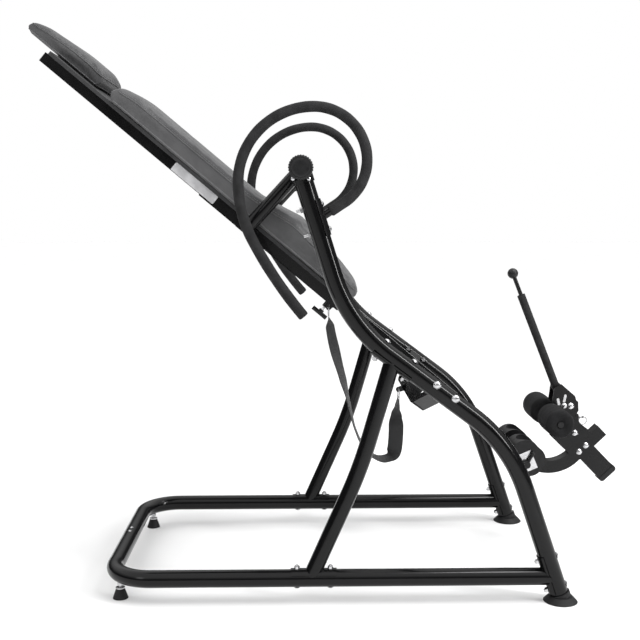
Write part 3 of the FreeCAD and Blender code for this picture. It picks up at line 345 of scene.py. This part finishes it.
def skin_faces(rings, sides, closed=False, first=0):
    """Faces over rings of points that follow each other, numbered from `first`; they face outwards when each
    ring turns counter-clockwise about the way onwards.  Closed ones join, and others end in flat faces."""
    faces = []
    for i in range(rings if closed else rings - 1):
        here = first + i * sides
        after = first + (i + 1) % rings * sides
        for k in range(sides):
            beside = (k + 1) % sides
            faces.append((here + k, here + beside, after + beside, after + k))
    if not closed:
        last = first + (rings - 1) * sides
        faces.append(tuple(first + k for k in range(sides - 1, -1, -1)))
        faces.append(tuple(last + k for k in range(sides)))
    return faces


def circle(centre, right, up, radius, sides):
    """Points round a circle, from right towards up."""
    points = []
    for k in range(sides):
        angle = 2 * math.pi * k / sides
        points.append(centre + right * (radius * math.cos(angle)) + up * (radius * math.sin(angle)))
    return points


def tube_mesh(name, path, radii, sides=16, side_hint=SIDEWAYS):
    """A tube along an open path, with one radius a point."""
    vertices = []
    last = len(path) - 1
    for i, point in enumerate(path):
        ahead = (path[min(i + 1, last)] - path[max(i - 1, 0)]).normalized()
        right = ahead.cross(side_hint).normalized()
        vertices += circle(point, right, ahead.cross(right), radii[i], sides)
    return mesh_of(name, vertices, skin_faces(len(path), sides))


def ring_tube(name, path, radius, sides=8):
    """A tube round a closed path on the bed."""
    vertices = []
    for i, point in enumerate(path):
        ahead = (path[(i + 1) % len(path)] - path[i - 1]).normalized()
        right = ahead.cross(ABOVE).normalized()
        vertices += circle(point, right, ahead.cross(right), radius, sides)
    return mesh_of(name, vertices, skin_faces(len(path), sides, closed=True))


def lathe(name, profile, base, axis, sides=48, flutes=0, depth=0.0):
    """A shape turned about an axis, from (distance along, radius) pairs; its widest rings may be fluted."""
    fluted = 0.93 * max(radius for _, radius in profile)
    hint = Vector((0, 0, 1)) if abs(axis.z) < 0.9 else Vector((1, 0, 0))
    right = axis.cross(hint).normalized()
    up = axis.cross(right)
    vertices = []
    for along, radius in profile:
        for k in range(sides):
            angle = 2 * math.pi * k / sides
            r = radius
            if flutes and radius > fluted:
                r -= depth * (0.5 - 0.5 * math.cos(flutes * angle)) ** 2
            vertices.append(base + axis * along + right * (r * math.cos(angle)) + up * (r * math.sin(angle)))
    return mesh_of(name, vertices, skin_faces(len(profile), sides))


# ---------------------------------------------------------------- tether strap
STRAP_WIDTH = 0.046
STRAP_THICK = 0.0024
STRAP_Y = 0.036
STRAP_ROUTE = [            # x from the pivot, z; the points of the strap's solid, a little nearer the picture
    (0.084, 0.752), (0.091, 0.700), (0.108, 0.630), (0.128, 0.560), (0.146, 0.490),
    (0.160, 0.420), (0.184, 0.352), (0.234, 0.300), (0.288, 0.308), (0.295, 0.376),
    (0.294, 0.440), (0.301, 0.496)]
STRAP_TWIST = [            # share of the strap's length, turn of its width from square to the view
    (0.0, 0), (0.05, 36), (0.14, 40), (0.27, 28), (0.38, 12), (0.52, 5), (0.66, 6), (0.72, 18), (0.775, 86),
    (0.87, 82), (0.925, 40), (0.96, 12), (1.0, 0)]
STRAP_SECTION = [          # across, thick; shares of the width and thickness
    (-0.5, -0.32), (-0.46, -0.5), (0.46, -0.5), (0.5, -0.32),
    (0.5, 0.32), (0.46, 0.5), (-0.46, 0.5), (-0.5, 0.32)]
CREASE_DEPTH = 0.0022
CREASE_RATE = 61.0         # radians over the strap's length


def spline_points(route, resolution=12):
    """Points read from the NURBS spline that has the route's points as its control points."""
    curve = bpy.data.curves.new("route", "CURVE")
    curve.dimensions = "3D"
    spline = curve.splines.new("NURBS")
    spline.points.add(len(route) - 1)
    for control, point in zip(spline.points, route):
        control.co = (*point, 1.0)
    spline.order_u = 3
    spline.use_endpoint_u = True
    spline.resolution_u = resolution
    holder = bpy.data.objects.new("route", curve)
    mesh = bpy.data.meshes.new_from_object(holder)
    points = [v.co.copy() for v in mesh.vertices]
    bpy.data.objects.remove(holder)
    bpy.data.curves.remove(curve)
    bpy.data.meshes.remove(mesh)
    return points


def read_table(table, at):
    """The value of a table of (place, value) rows at a place, eased from row to row."""
    for (a, low), (b, high) in zip(table, table[1:]):
        if at <= b:
            share = (at - a) / (b - a)
            share = share * share * (3 - 2 * share)
            return low + (high - low) * share
    return table[-1][1]


def strap_mesh(name, line, lengths):
    """Flat webbing along a line, turned as the twist table says and lightly creased."""
    vertices = []
    last = len(line) - 1
    for i, point in enumerate(line):
        ahead = (line[min(i + 1, last)] - line[max(i - 1, 0)]).normalized()
        share = lengths[i] / lengths[-1]
        turn = math.radians(read_table(STRAP_TWIST, share))
        other = ahead.cross(SIDEWAYS).normalized()
        across = SIDEWAYS * math.cos(turn) + other * math.sin(turn)
        thick = ahead.cross(across).normalized()
        crease = CREASE_DEPTH * math.sin(share * CREASE_RATE) * math.sin(share * math.pi)
        for a, t in STRAP_SECTION:
            bow = crease * (1 - (2 * a) ** 2)
            vertices.append(point + across * (a * STRAP_WIDTH) + thick * (t * STRAP_THICK + bow))
    return mesh_of(name, vertices, skin_faces(len(line), len(STRAP_SECTION)))


strap_line = spline_points([(PIVOT.x + x, STRAP_Y, z) for x, z in STRAP_ROUTE])
strap_lengths = [0.0]
for here, after in zip(strap_line, strap_line[1:]):
    strap_lengths.append(strap_lengths[-1] + (after - here).length)

strap = piece("tether_webbing", strap_mesh("tether_webbing", strap_line, strap_lengths), MATERIALS["webbing"],
              None)
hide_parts("tether_strap")
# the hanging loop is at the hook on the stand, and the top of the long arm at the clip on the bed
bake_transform(strap)

# ---------------------------------------------------------------- padded pieces
PAD_VOXEL = 0.005
PAD_CROWN_HEIGHT = 0.06    # height over the pad's base at which its crown is fully added
PAD_BASE = 0.02            # the lowest part of a pad, which stays flat and unsewn
PAD_CLEARANCE = 0.0004     # over what it lies on
PAD_SHRINK = 0.004         # taken off each side before the cloth swells
CLOTH_CAP = 0.006          # the furthest that the cloth may move
CLOTH_FRAMES = 20
CLOTH = {
    "use_pressure": True, "uniform_pressure_force": 4.0, "quality": 5, "mass": 0.3, "tension_stiffness": 12,
    "compression_stiffness": 12, "bending_stiffness": 0.6}
BACK_CROWN = 0.004
HEAD_CROWN = 0.003
CHANNEL_Y = 0.150          # the back pad's sewn lines along it, from its middle
CHANNEL_ENDS = (0.06, 0.07)                   # how far they stop short of its upper and lower ends
CROSS_CHANNELS = (-0.33, -0.13, 0.0, 0.17)    # u of its sewn lines across
HEAD_CHANNEL = 0.075       # the head pad's sewn line, from its upper end
HEAD_CHANNEL_STOP = 0.03   # how far that line stops short of the sides


def modified(mesh, *steps):
    """The mesh after modifiers, given as (kind, {setting: value})."""
    holder = bpy.data.objects.new("holder", mesh)
    bpy.context.collection.objects.link(holder)
    for kind, settings in steps:
        modifier = holder.modifiers.new(kind, kind)
        for key, value in settings.items():
            setattr(modifier, key, value)
    view = bpy.context.evaluated_depsgraph_get()
    result = bpy.data.meshes.new_from_object(holder.evaluated_get(view))
    bpy.data.objects.remove(holder)
    return result


def inflate(mesh):
    """Cloth under pressure for a few frames; no point moves further than the cap."""
    holder = bpy.data.objects.new("inflated", mesh)
    bpy.context.collection.objects.link(holder)
    start = [v.co.copy() for v in mesh.vertices]
    cloth = holder.modifiers.new("cloth", "CLOTH")
    for key, value in CLOTH.items():
        setattr(cloth.settings, key, value)
    cloth.settings.effector_weights.gravity = 0.0
    cloth.point_cache.frame_start = 1
    cloth.point_cache.frame_end = CLOTH_FRAMES
    scene = bpy.context.scene
    for number in range(1, CLOTH_FRAMES + 1):
        scene.frame_set(number)
    view = bpy.context.evaluated_depsgraph_get()
    result = bpy.data.meshes.new_from_object(holder.evaluated_get(view))
    for vertex, old in zip(result.vertices, start):
        step = vertex.co - old
        if step.length > CLOTH_CAP:
            vertex.co = old + step * (CLOTH_CAP / step.length)
    bpy.data.objects.remove(holder)
    scene.frame_set(1)
    return result


def shaped_pad(name, node, low, half, crown, channels):
    """A padded piece from its plain solid: rounded, crowned, inflated, then sewn along the channels."""
    plain = NODES[node].data.copy()
    plain.materials.clear()
    plain.name = name
    mesh = modified(plain, ("REMESH", {"mode": "VOXEL", "voxel_size": PAD_VOXEL}),
                    ("SMOOTH", {"factor": 0.5, "iterations": 6}))
    for vertex in mesh.vertices:
        u, y, w = to_bed(vertex.co)
        rise = max(0.0, w - low) / PAD_CROWN_HEIGHT
        w += crown * (1 - (y / half) ** 2) * rise
        y *= 1 - PAD_SHRINK / half
        vertex.co = bed(u, y, w)
    mesh = inflate(mesh)
    for vertex in mesh.vertices:
        u, y, w = to_bed(vertex.co)
        if w < low + PAD_BASE:
            w = max(w, low + PAD_CLEARANCE)
        else:
            for channel in channels:
                w -= channel(u, y)
        vertex.co = bed(u, y, w)
    mesh = modified(mesh, ("SMOOTH", {"factor": 0.35, "iterations": 2}),
                    ("SUBSURF", {"levels": 1, "render_levels": 1}))
    obj = piece(name, mesh, MATERIALS["pad_cover"], "table")
    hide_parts(node)
    return obj


def faded(inside, reach):
    """From 0 at an edge to 1 at a distance inside it."""
    return min(1.0, max(0.0, inside / reach))


def along_line(y0, u0, u1, depth=0.004, spread=0.006):
    """The depth of a pair of sewn channels along the pad, one each side of its middle."""
    def dent(u, y):
        return depth * faded(u - u0, 0.03) * faded(u1 - u, 0.03) * math.exp(-((abs(y) - y0) / spread) ** 2)
    return dent


def across_line(u0, half, depth=0.004, spread=0.006):
    """The depth of a sewn channel across the pad."""
    def dent(u, y):
        return depth * faded(half - abs(y), 0.02) * math.exp(-((u - u0) / spread) ** 2)
    return dent


def node_range(node):
    """The lowest and highest u, y and w of a node."""
    points = [to_bed(v.co) for v in NODES[node].data.vertices]
    return [(min(p[i] for p in points), max(p[i] for p in points)) for i in range(3)]


PAD = node_range("back_pad")
HEAD = node_range("head_pad")
PAD_LOW = PAD[2][0]
PAD_HALF = PAD[1][1]
HEAD_LOW = HEAD[2][0]
HEAD_HALF = HEAD[1][1]
back_channels = [along_line(CHANNEL_Y, PAD[0][0] + CHANNEL_ENDS[0], PAD[0][1] - CHANNEL_ENDS[1])]
for line_u in CROSS_CHANNELS:
    back_channels.append(across_line(line_u, CHANNEL_Y))
head_channels = [across_line(HEAD[0][0] + HEAD_CHANNEL, HEAD_HALF - HEAD_CHANNEL_STOP, 0.003)]
back_pad = shaped_pad("padded_back", "back_pad", PAD_LOW, PAD_HALF, BACK_CROWN, back_channels)
head_pad = shaped_pad("padded_head", "head_pad", HEAD_LOW, HEAD_HALF, HEAD_CROWN, head_channels)

# ---------------------------------------------------------------- seams, stitches and piping of the pads
SEAM_SHARE = 0.66          # height of the seam, as a share of the pad's thickness there
STITCH_SHARE = 0.75
HEM_HEIGHT = 0.007
SEAM_R = 0.0019
HEM_R = 0.0018
STITCH_GAP = 0.0085
STITCH_LENGTH = 0.0050
STITCH_R = 0.0005
STITCH_SHAPE = ((-0.5, 0.35), (-0.3, 1.0), (0.3, 1.0), (0.5, 0.35))    # along, radius; shares
STITCH_SIDES = 6
EDGE_BAND = 0.03           # how near its edge a pad's side wall starts
BACK_CORNER = 0.055        # radius of the pad's corners
HEAD_CORNER = 0.06
PROBE_IN = 0.035           # how far inside the rim a pad's thickness is read
PROBE_ABOVE = 0.4          # height that it is read from
PROBE_OUT = 0.08           # how far outside the rim its side is looked for from
USUAL_TOP = 0.08           # height of a pad's top where none is found


def rounded_rectangle(spans, corner, count):
    """Evenly spaced (u, y, outward u, outward y) round a rectangle with rounded corners."""
    (u0, u1), (y0, y1) = spans
    centres = [(u0 + corner, y0 + corner), (u1 - corner, y0 + corner),
               (u1 - corner, y1 - corner), (u0 + corner, y1 - corner)]
    straights = [(u1 - u0) - 2 * corner, (y1 - y0) - 2 * corner] * 2
    arc = math.pi * corner / 2
    total = sum(straights) + 4 * arc
    points = []
    for i in range(count):
        run = total * i / count
        edge = 0
        while run > straights[edge] + arc:
            run -= straights[edge] + arc
            edge += 1
        way = math.radians(90 * edge)
        if run <= straights[edge]:
            centre = centres[edge]
            angle = way - math.radians(90)
        else:
            centre = centres[(edge + 1) % 4]
            angle = way - math.radians(90) * (1 - (run - straights[edge]) / arc)
            run = 0.0
        out_u = math.cos(angle)
        out_y = math.sin(angle)
        u = centre[0] + corner * out_u + run * math.cos(way)
        y = centre[1] + corner * out_y + run * math.sin(way)
        points.append((u, y, out_u, out_y))
    return points


def rim_path(pad, spans, corner, height, count=360):
    """A closed line round a pad, found on its skin at a height that follows the pad's thickness."""
    tree = BVHTree.FromObject(pad, bpy.context.evaluated_depsgraph_get())
    u0, u1 = spans[0]
    path = []
    for u, y, out_u, out_y in rounded_rectangle(spans, corner, count):
        inner_u = min(max(u, u0 + EDGE_BAND), u1 - EDGE_BAND)
        top = tree.ray_cast(bed(inner_u, y - out_y * PROBE_IN, PROBE_ABOVE), -ABOVE)[0]
        w = height(to_bed(top)[2] if top else USUAL_TOP)
        source = bed(u + out_u * PROBE_OUT, y + out_y * PROBE_OUT, w)
        hit = tree.ray_cast(source, (bed(u, y, w) - source).normalized())[0]
        if hit:
            path.append(hit)
    for _ in range(2):
        path = [(path[i - 1] + path[i] * 2 + path[(i + 1) % len(path)]) / 4 for i in range(len(path))]
    return path


def stitches(name, path, outward):
    """Short raised threads along a closed line, one mesh."""
    vertices = []
    faces = []
    run = 0.0
    for here, after in zip(path, path[1:] + path[:1]):
        ahead = (after - here).normalized()
        out = outward(here)
        while run < (after - here).length:
            centre = here + ahead * run + out * (STITCH_R * 0.4)
            right = ahead.cross(out).normalized()
            faces += skin_faces(len(STITCH_SHAPE), STITCH_SIDES, first=len(vertices))
            for along, share in STITCH_SHAPE:
                middle = centre + ahead * (along * STITCH_LENGTH)
                vertices += circle(middle, right, ahead.cross(right), STITCH_R * share, STITCH_SIDES)
            run += STITCH_GAP
        run -= (after - here).length
    return mesh_of(name, vertices, faces)


def trim_pad(name, pad, ranges, corner):
    """The seam cord, stitch row and piped hem that run round a pad."""
    spans = ranges[:2]
    (u0, u1), (y0, y1) = spans
    low = ranges[2][0]
    centre = bed((u0 + u1) / 2, 0, low + PAD_BASE)

    def outward(point):
        u, y, _ = to_bed(point)
        out = SIDEWAYS * ((y > y1 - EDGE_BAND) - (y < y0 + EDGE_BAND))
        out += ALONG * ((u > u1 - EDGE_BAND) - (u < u0 + EDGE_BAND))
        return out.normalized() if out.length > 0 else (point - centre).normalized()

    def at_share(share):
        return lambda top: low + (top - low) * share

    seam = ring_tube(name + "_seam_cord", rim_path(pad, spans, corner, at_share(SEAM_SHARE)), SEAM_R)
    piece(name + "_seam_cord", seam, MATERIALS["pad_cover"], "table")
    row = stitches(name + "_stitch_row", rim_path(pad, spans, corner, at_share(STITCH_SHARE), 420), outward)
    piece(name + "_stitch_row", row, THREAD, "table")
    hem = ring_tube(name + "_hem_cord", rim_path(pad, spans, corner, lambda top: low + HEM_HEIGHT), HEM_R)
    piece(name + "_hem_cord", hem, PIPING, "table")


trim_pad("back", back_pad, PAD, BACK_CORNER)
trim_pad("head", head_pad, HEAD, HEAD_CORNER)

# ---------------------------------------------------------------- foam on the handles
SIDE_Y = 0.348
HANDLE_LEVEL = 1.0504      # height of the line that each loop leans about
HANDLE_LEAN = math.radians(6.2)
FOAM_R = 0.0145
FOAM_LEAD = 0.044          # straight run of foam below each loop
FOAM_WAVER = 0.012         # share by which the foam's radius wavers
FOAM_SIDES = 28
LEAD_STEPS = 6
LAST_ARC_STEPS = 16
LOOP_ARCS = [              # centre x from the pivot, centre z, radius, first and last heading in degrees
    (0.040, 1.208, 0.135, 33.0, 90.0), (0.035, 1.208, 0.140, 90.0, 180.0),
    (0.035, 1.148, 0.200, 180.0, 270.0), (0.165, 1.148, 0.330, 270.0, 298.0)]
LAST_ARC = (1.150, 298.0, 310.0)                 # radius, first and last heading; it goes on from the loop
SLEEVE_HEAD = [            # distance in from the end, share of the radius
    (0.0, 0.80), (0.0012, 0.93), (0.0035, 1.0)]
SLEEVE_TAIL = [
    (0.0060, 1.0), (0.0028, 0.97), (0.0008, 0.85), (0.0, 0.66), (-0.0004, 0.3)]


def on_arc(cx, cz, radius, heading):
    """Where a counter-clockwise path round a circle has this heading."""
    angle = math.radians(heading - 90)
    return cx + radius * math.cos(angle), cz + radius * math.sin(angle)


def loop_path(side):
    """The middle line of the foam on one handle, from its foot round the loop to the grip's end."""
    foot_x, foot_z = on_arc(*LOOP_ARCS[0][:4])
    first = math.radians(LOOP_ARCS[0][3])
    points = []
    for i in range(LEAD_STEPS):
        lead = FOAM_LEAD * (LEAD_STEPS - i) / LEAD_STEPS
        points.append((foot_x - math.cos(first) * lead, foot_z - math.sin(first) * lead))
    for cx, cz, radius, first, last in LOOP_ARCS:
        steps = max(8, int((last - first) / 3))
        for i in range(steps):
            points.append(on_arc(cx, cz, radius, first + (last - first) * i / steps))
    cx, cz, radius, _, last = LOOP_ARCS[-1]
    knee_x, knee_z = on_arc(cx, cz, radius, last)
    radius, first, last = LAST_ARC
    cx = knee_x + radius * math.cos(math.radians(first + 90))
    cz = knee_z + radius * math.sin(math.radians(first + 90))
    for i in range(LAST_ARC_STEPS + 1):
        points.append(on_arc(cx, cz, radius, first + (last - first) * i / LAST_ARC_STEPS))
    path = []
    for x, z in points:
        rise = z - HANDLE_LEVEL
        y = SIDE_Y - rise * math.sin(HANDLE_LEAN)
        path.append(Vector((PIVOT.x + x, side * y, HANDLE_LEVEL + rise * math.cos(HANDLE_LEAN))))
    return path


def foam_sleeve(name, side):
    """A foam tube with rounded ends along one handle."""
    path = loop_path(side)
    inwards = (path[1] - path[0]).normalized()
    ahead = (path[-1] - path[-2]).normalized()
    head = [path[0] + inwards * reach for reach, _ in SLEEVE_HEAD]
    tail = [path[-1] - ahead * reach for reach, _ in SLEEVE_TAIL]
    middle = path[1:-1]
    shares = [share for _, share in SLEEVE_HEAD] + [1.0] * len(middle) + [share for _, share in SLEEVE_TAIL]
    radii = [FOAM_R * share * (1 + FOAM_WAVER * math.sin(i * 0.9 + side)) for i, share in enumerate(shares)]
    return tube_mesh(name, head + middle + tail, radii, FOAM_SIDES)


for side, word in ((-1, "left"), (1, "right")):
    sleeve_name = "foam_sleeve_" + word
    sleeve = piece(sleeve_name, foam_sleeve(sleeve_name, side), MATERIALS["foam"], "stand")
    if side < 0:
        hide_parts("handle_foams")

# ---------------------------------------------------------------- ankle rollers
ROLLER_END = [             # distance in from the end, radius; from the axle's hole out to the rounded edge
    (0.006, 0.0092), (0.0025, 0.014), (0.0004, 0.020), (0.0, 0.027), (0.0012, 0.033), (0.0045, 0.0385)]
ROLLER_EDGE = 0.011        # distance in from the end at which the roller is full
ROLLER_STEPS = 20


def roller_profile(width, radius):
    """Both rounded ends, and a side that wavers a little."""
    end = ROLLER_END + [(ROLLER_EDGE, radius - 0.0008)]
    profile = list(end)
    for i in range(1, ROLLER_STEPS):
        along = ROLLER_EDGE + (width - 2 * ROLLER_EDGE) * i / ROLLER_STEPS
        profile.append((along, radius - 0.0003 - 0.0002 * math.sin(i * 1.1)))
    for along, r in reversed(end):
        profile.append((width - along, r))
    return profile


for word in ("left", "right"):
    low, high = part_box("ankle_roller_" + word)
    middle = (low + high) / 2
    roller_name = "foam_roller_" + word
    mesh = lathe(roller_name, roller_profile(high.y - low.y, (high.x - low.x) / 2),
                 Vector((middle.x, low.y, middle.z)), SIDEWAYS, 64)
    roller = piece(roller_name, mesh, ROLLER_FOAM, "ankle_clamp")
    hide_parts("ankle_roller_" + word)

# ---------------------------------------------------------------- fluted caps on the pivots
CAP_PROFILE = [            # distance out from the cap's face on the hub, radius
    (0.0002, 0.0300), (0.0010, 0.0322), (0.0030, 0.0330), (0.0080, 0.0330), (0.0125, 0.0328),
    (0.0145, 0.0316), (0.0157, 0.0290), (0.0162, 0.0255), (0.0158, 0.0235), (0.0150, 0.0222),
    (0.0149, 0.0160), (0.0151, 0.0060), (0.0152, 0.0004)]
CAP_THICK = 0.017
CAP_FLUTES = 28
CAP_FLUTE_DEPTH = 0.0016

cap_low, cap_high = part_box("pivot_caps")
cap_face = (cap_high.y - cap_low.y) / 2 - CAP_THICK
for side, word in ((-1, "left"), (1, "right")):
    cap_name = "pivot_cap_" + word
    mesh = lathe(cap_name, CAP_PROFILE, Vector((PIVOT.x, side * cap_face, PIVOT.z)), SIDEWAYS * side,
                 CAP_FLUTES * 8, CAP_FLUTES, CAP_FLUTE_DEPTH)
    cap = piece(cap_name, mesh, MATERIALS["black_plastic"], "stand")
    if side < 0:
        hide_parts("pivot_caps")

# ---------------------------------------------------------------- two bright catches at the lever's foot
CATCHES = [                # x from the pivot, z, height, lean in degrees
    (0.783, 0.495, 0.021, -14), (0.802, 0.505, 0.024, 10)]
CATCH_WIDTH = 0.0085
CATCH_OUTLINE = [          # across, up; shares of the width and height
    (-0.5, -0.5), (0.30, -0.5), (0.5, -0.36), (0.5, 0.36), (0.34, 0.5), (-0.34, 0.5), (-0.5, 0.30)]
CATCH_LAYERS = [(0.0001, 0.0), (0.0012, 0.0), (0.0018, 0.12)]    # height over the fork, share drawn in

FORK_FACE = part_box("lever_fork")[0].y


def catch_mesh(name, x, z, tall, lean):
    """A thin plate with cut corners and a chamfered face, on the near face of the lever's fork."""
    up = Vector((math.sin(math.radians(lean)), 0, math.cos(math.radians(lean))))
    across = Vector((up.z, 0, -up.x))
    place = Vector((PIVOT.x + x, FORK_FACE, z))
    outline = [place + across * (a * CATCH_WIDTH) + up * (b * tall) for a, b in CATCH_OUTLINE]
    middle = sum(outline, Vector()) / len(outline)
    vertices = []
    for rise, inset in CATCH_LAYERS:
        vertices += [point + (middle - point) * inset - SIDEWAYS * rise for point in outline]
    return mesh_of(name, vertices, skin_faces(len(CATCH_LAYERS), len(outline)))


for number, catch in enumerate(CATCHES, 1):
    catch_name = f"lever_catch_{number}"
    piece(catch_name, catch_mesh(catch_name, *catch), MATERIALS["bright_steel"], "ankle_lever",
          smooth=False)

# ---------------------------------------------------------------- coil springs of the two pulled pins
SPRING_WIRE = 0.0007       # radius


def pin_spring(name, node, body, axis, half, turns):
    """A wound spring round its pin."""
    low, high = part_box(node)
    centre = (low + high) / 2
    radius = (high.y - low.y) / 2 - SPRING_WIRE
    across = axis.cross(SIDEWAYS)
    steps = 24 * turns
    path = []
    for i in range(steps + 1):
        angle = 2 * math.pi * turns * i / steps
        along = (half - SPRING_WIRE) * (2 * i / steps - 1)
        wound = across * math.cos(angle) + SIDEWAYS * math.sin(angle)
        path.append(centre + axis * along + wound * radius)
    mesh = tube_mesh(name, path, [SPRING_WIRE] * len(path), sides=8, side_hint=axis)
    spring = piece(name, mesh, MATERIALS["spring_steel"], body)
    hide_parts(node)
    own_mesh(spring)


pin_spring("ring_pin_coil", "ring_pin_spring", "boom", Vector((1, 0, 0)), 0.0032, 3)
pin_spring("lock_pin_coil", "lock_pin_spring", "table", -ABOVE, 0.0042, 4)

# ---------------------------------------------------------------- blank label on the near rail
RAIL_FACE = 0.2125         # y of the rail's outer face
LABEL_MIDDLE = (-0.2015, 0.0075)
LABEL_HALF = (0.0745, 0.0130)
LABEL_CORNER = 0.003
LABEL_LAYERS = (0.0001, 0.0006)     # heights over the rail


def label_mesh(name):
    """A thin plate with rounded corners."""
    outline = []
    for quarter, (su, sw) in enumerate(((1, 1), (-1, 1), (-1, -1), (1, -1))):
        for k in range(5):
            angle = math.radians(90 * quarter + 22.5 * k)
            u = LABEL_MIDDLE[0] + su * (LABEL_HALF[0] - LABEL_CORNER) + LABEL_CORNER * math.cos(angle)
            w = LABEL_MIDDLE[1] + sw * (LABEL_HALF[1] - LABEL_CORNER) + LABEL_CORNER * math.sin(angle)
            outline.append((u, w))
    vertices = [bed(u, -RAIL_FACE - rise, w) for rise in LABEL_LAYERS for u, w in outline]
    return mesh_of(name, vertices, skin_faces(len(LABEL_LAYERS), len(outline)))


piece("blank_label", label_mesh("blank_label"), LABEL, "table", smooth=False)

# ---------------------------------------------------------------- floor
FLOOR_HALF = 30
FLOOR_LEVEL = -0.0005

corners = []
for x, y in ((-1, -1), (1, -1), (1, 1), (-1, 1)):
    corners.append((x * FLOOR_HALF, y * FLOOR_HALF, FLOOR_LEVEL))
floor = piece("floor", mesh_of("floor", corners, [(0, 1, 2, 3)]), FLOOR, None, smooth=False)
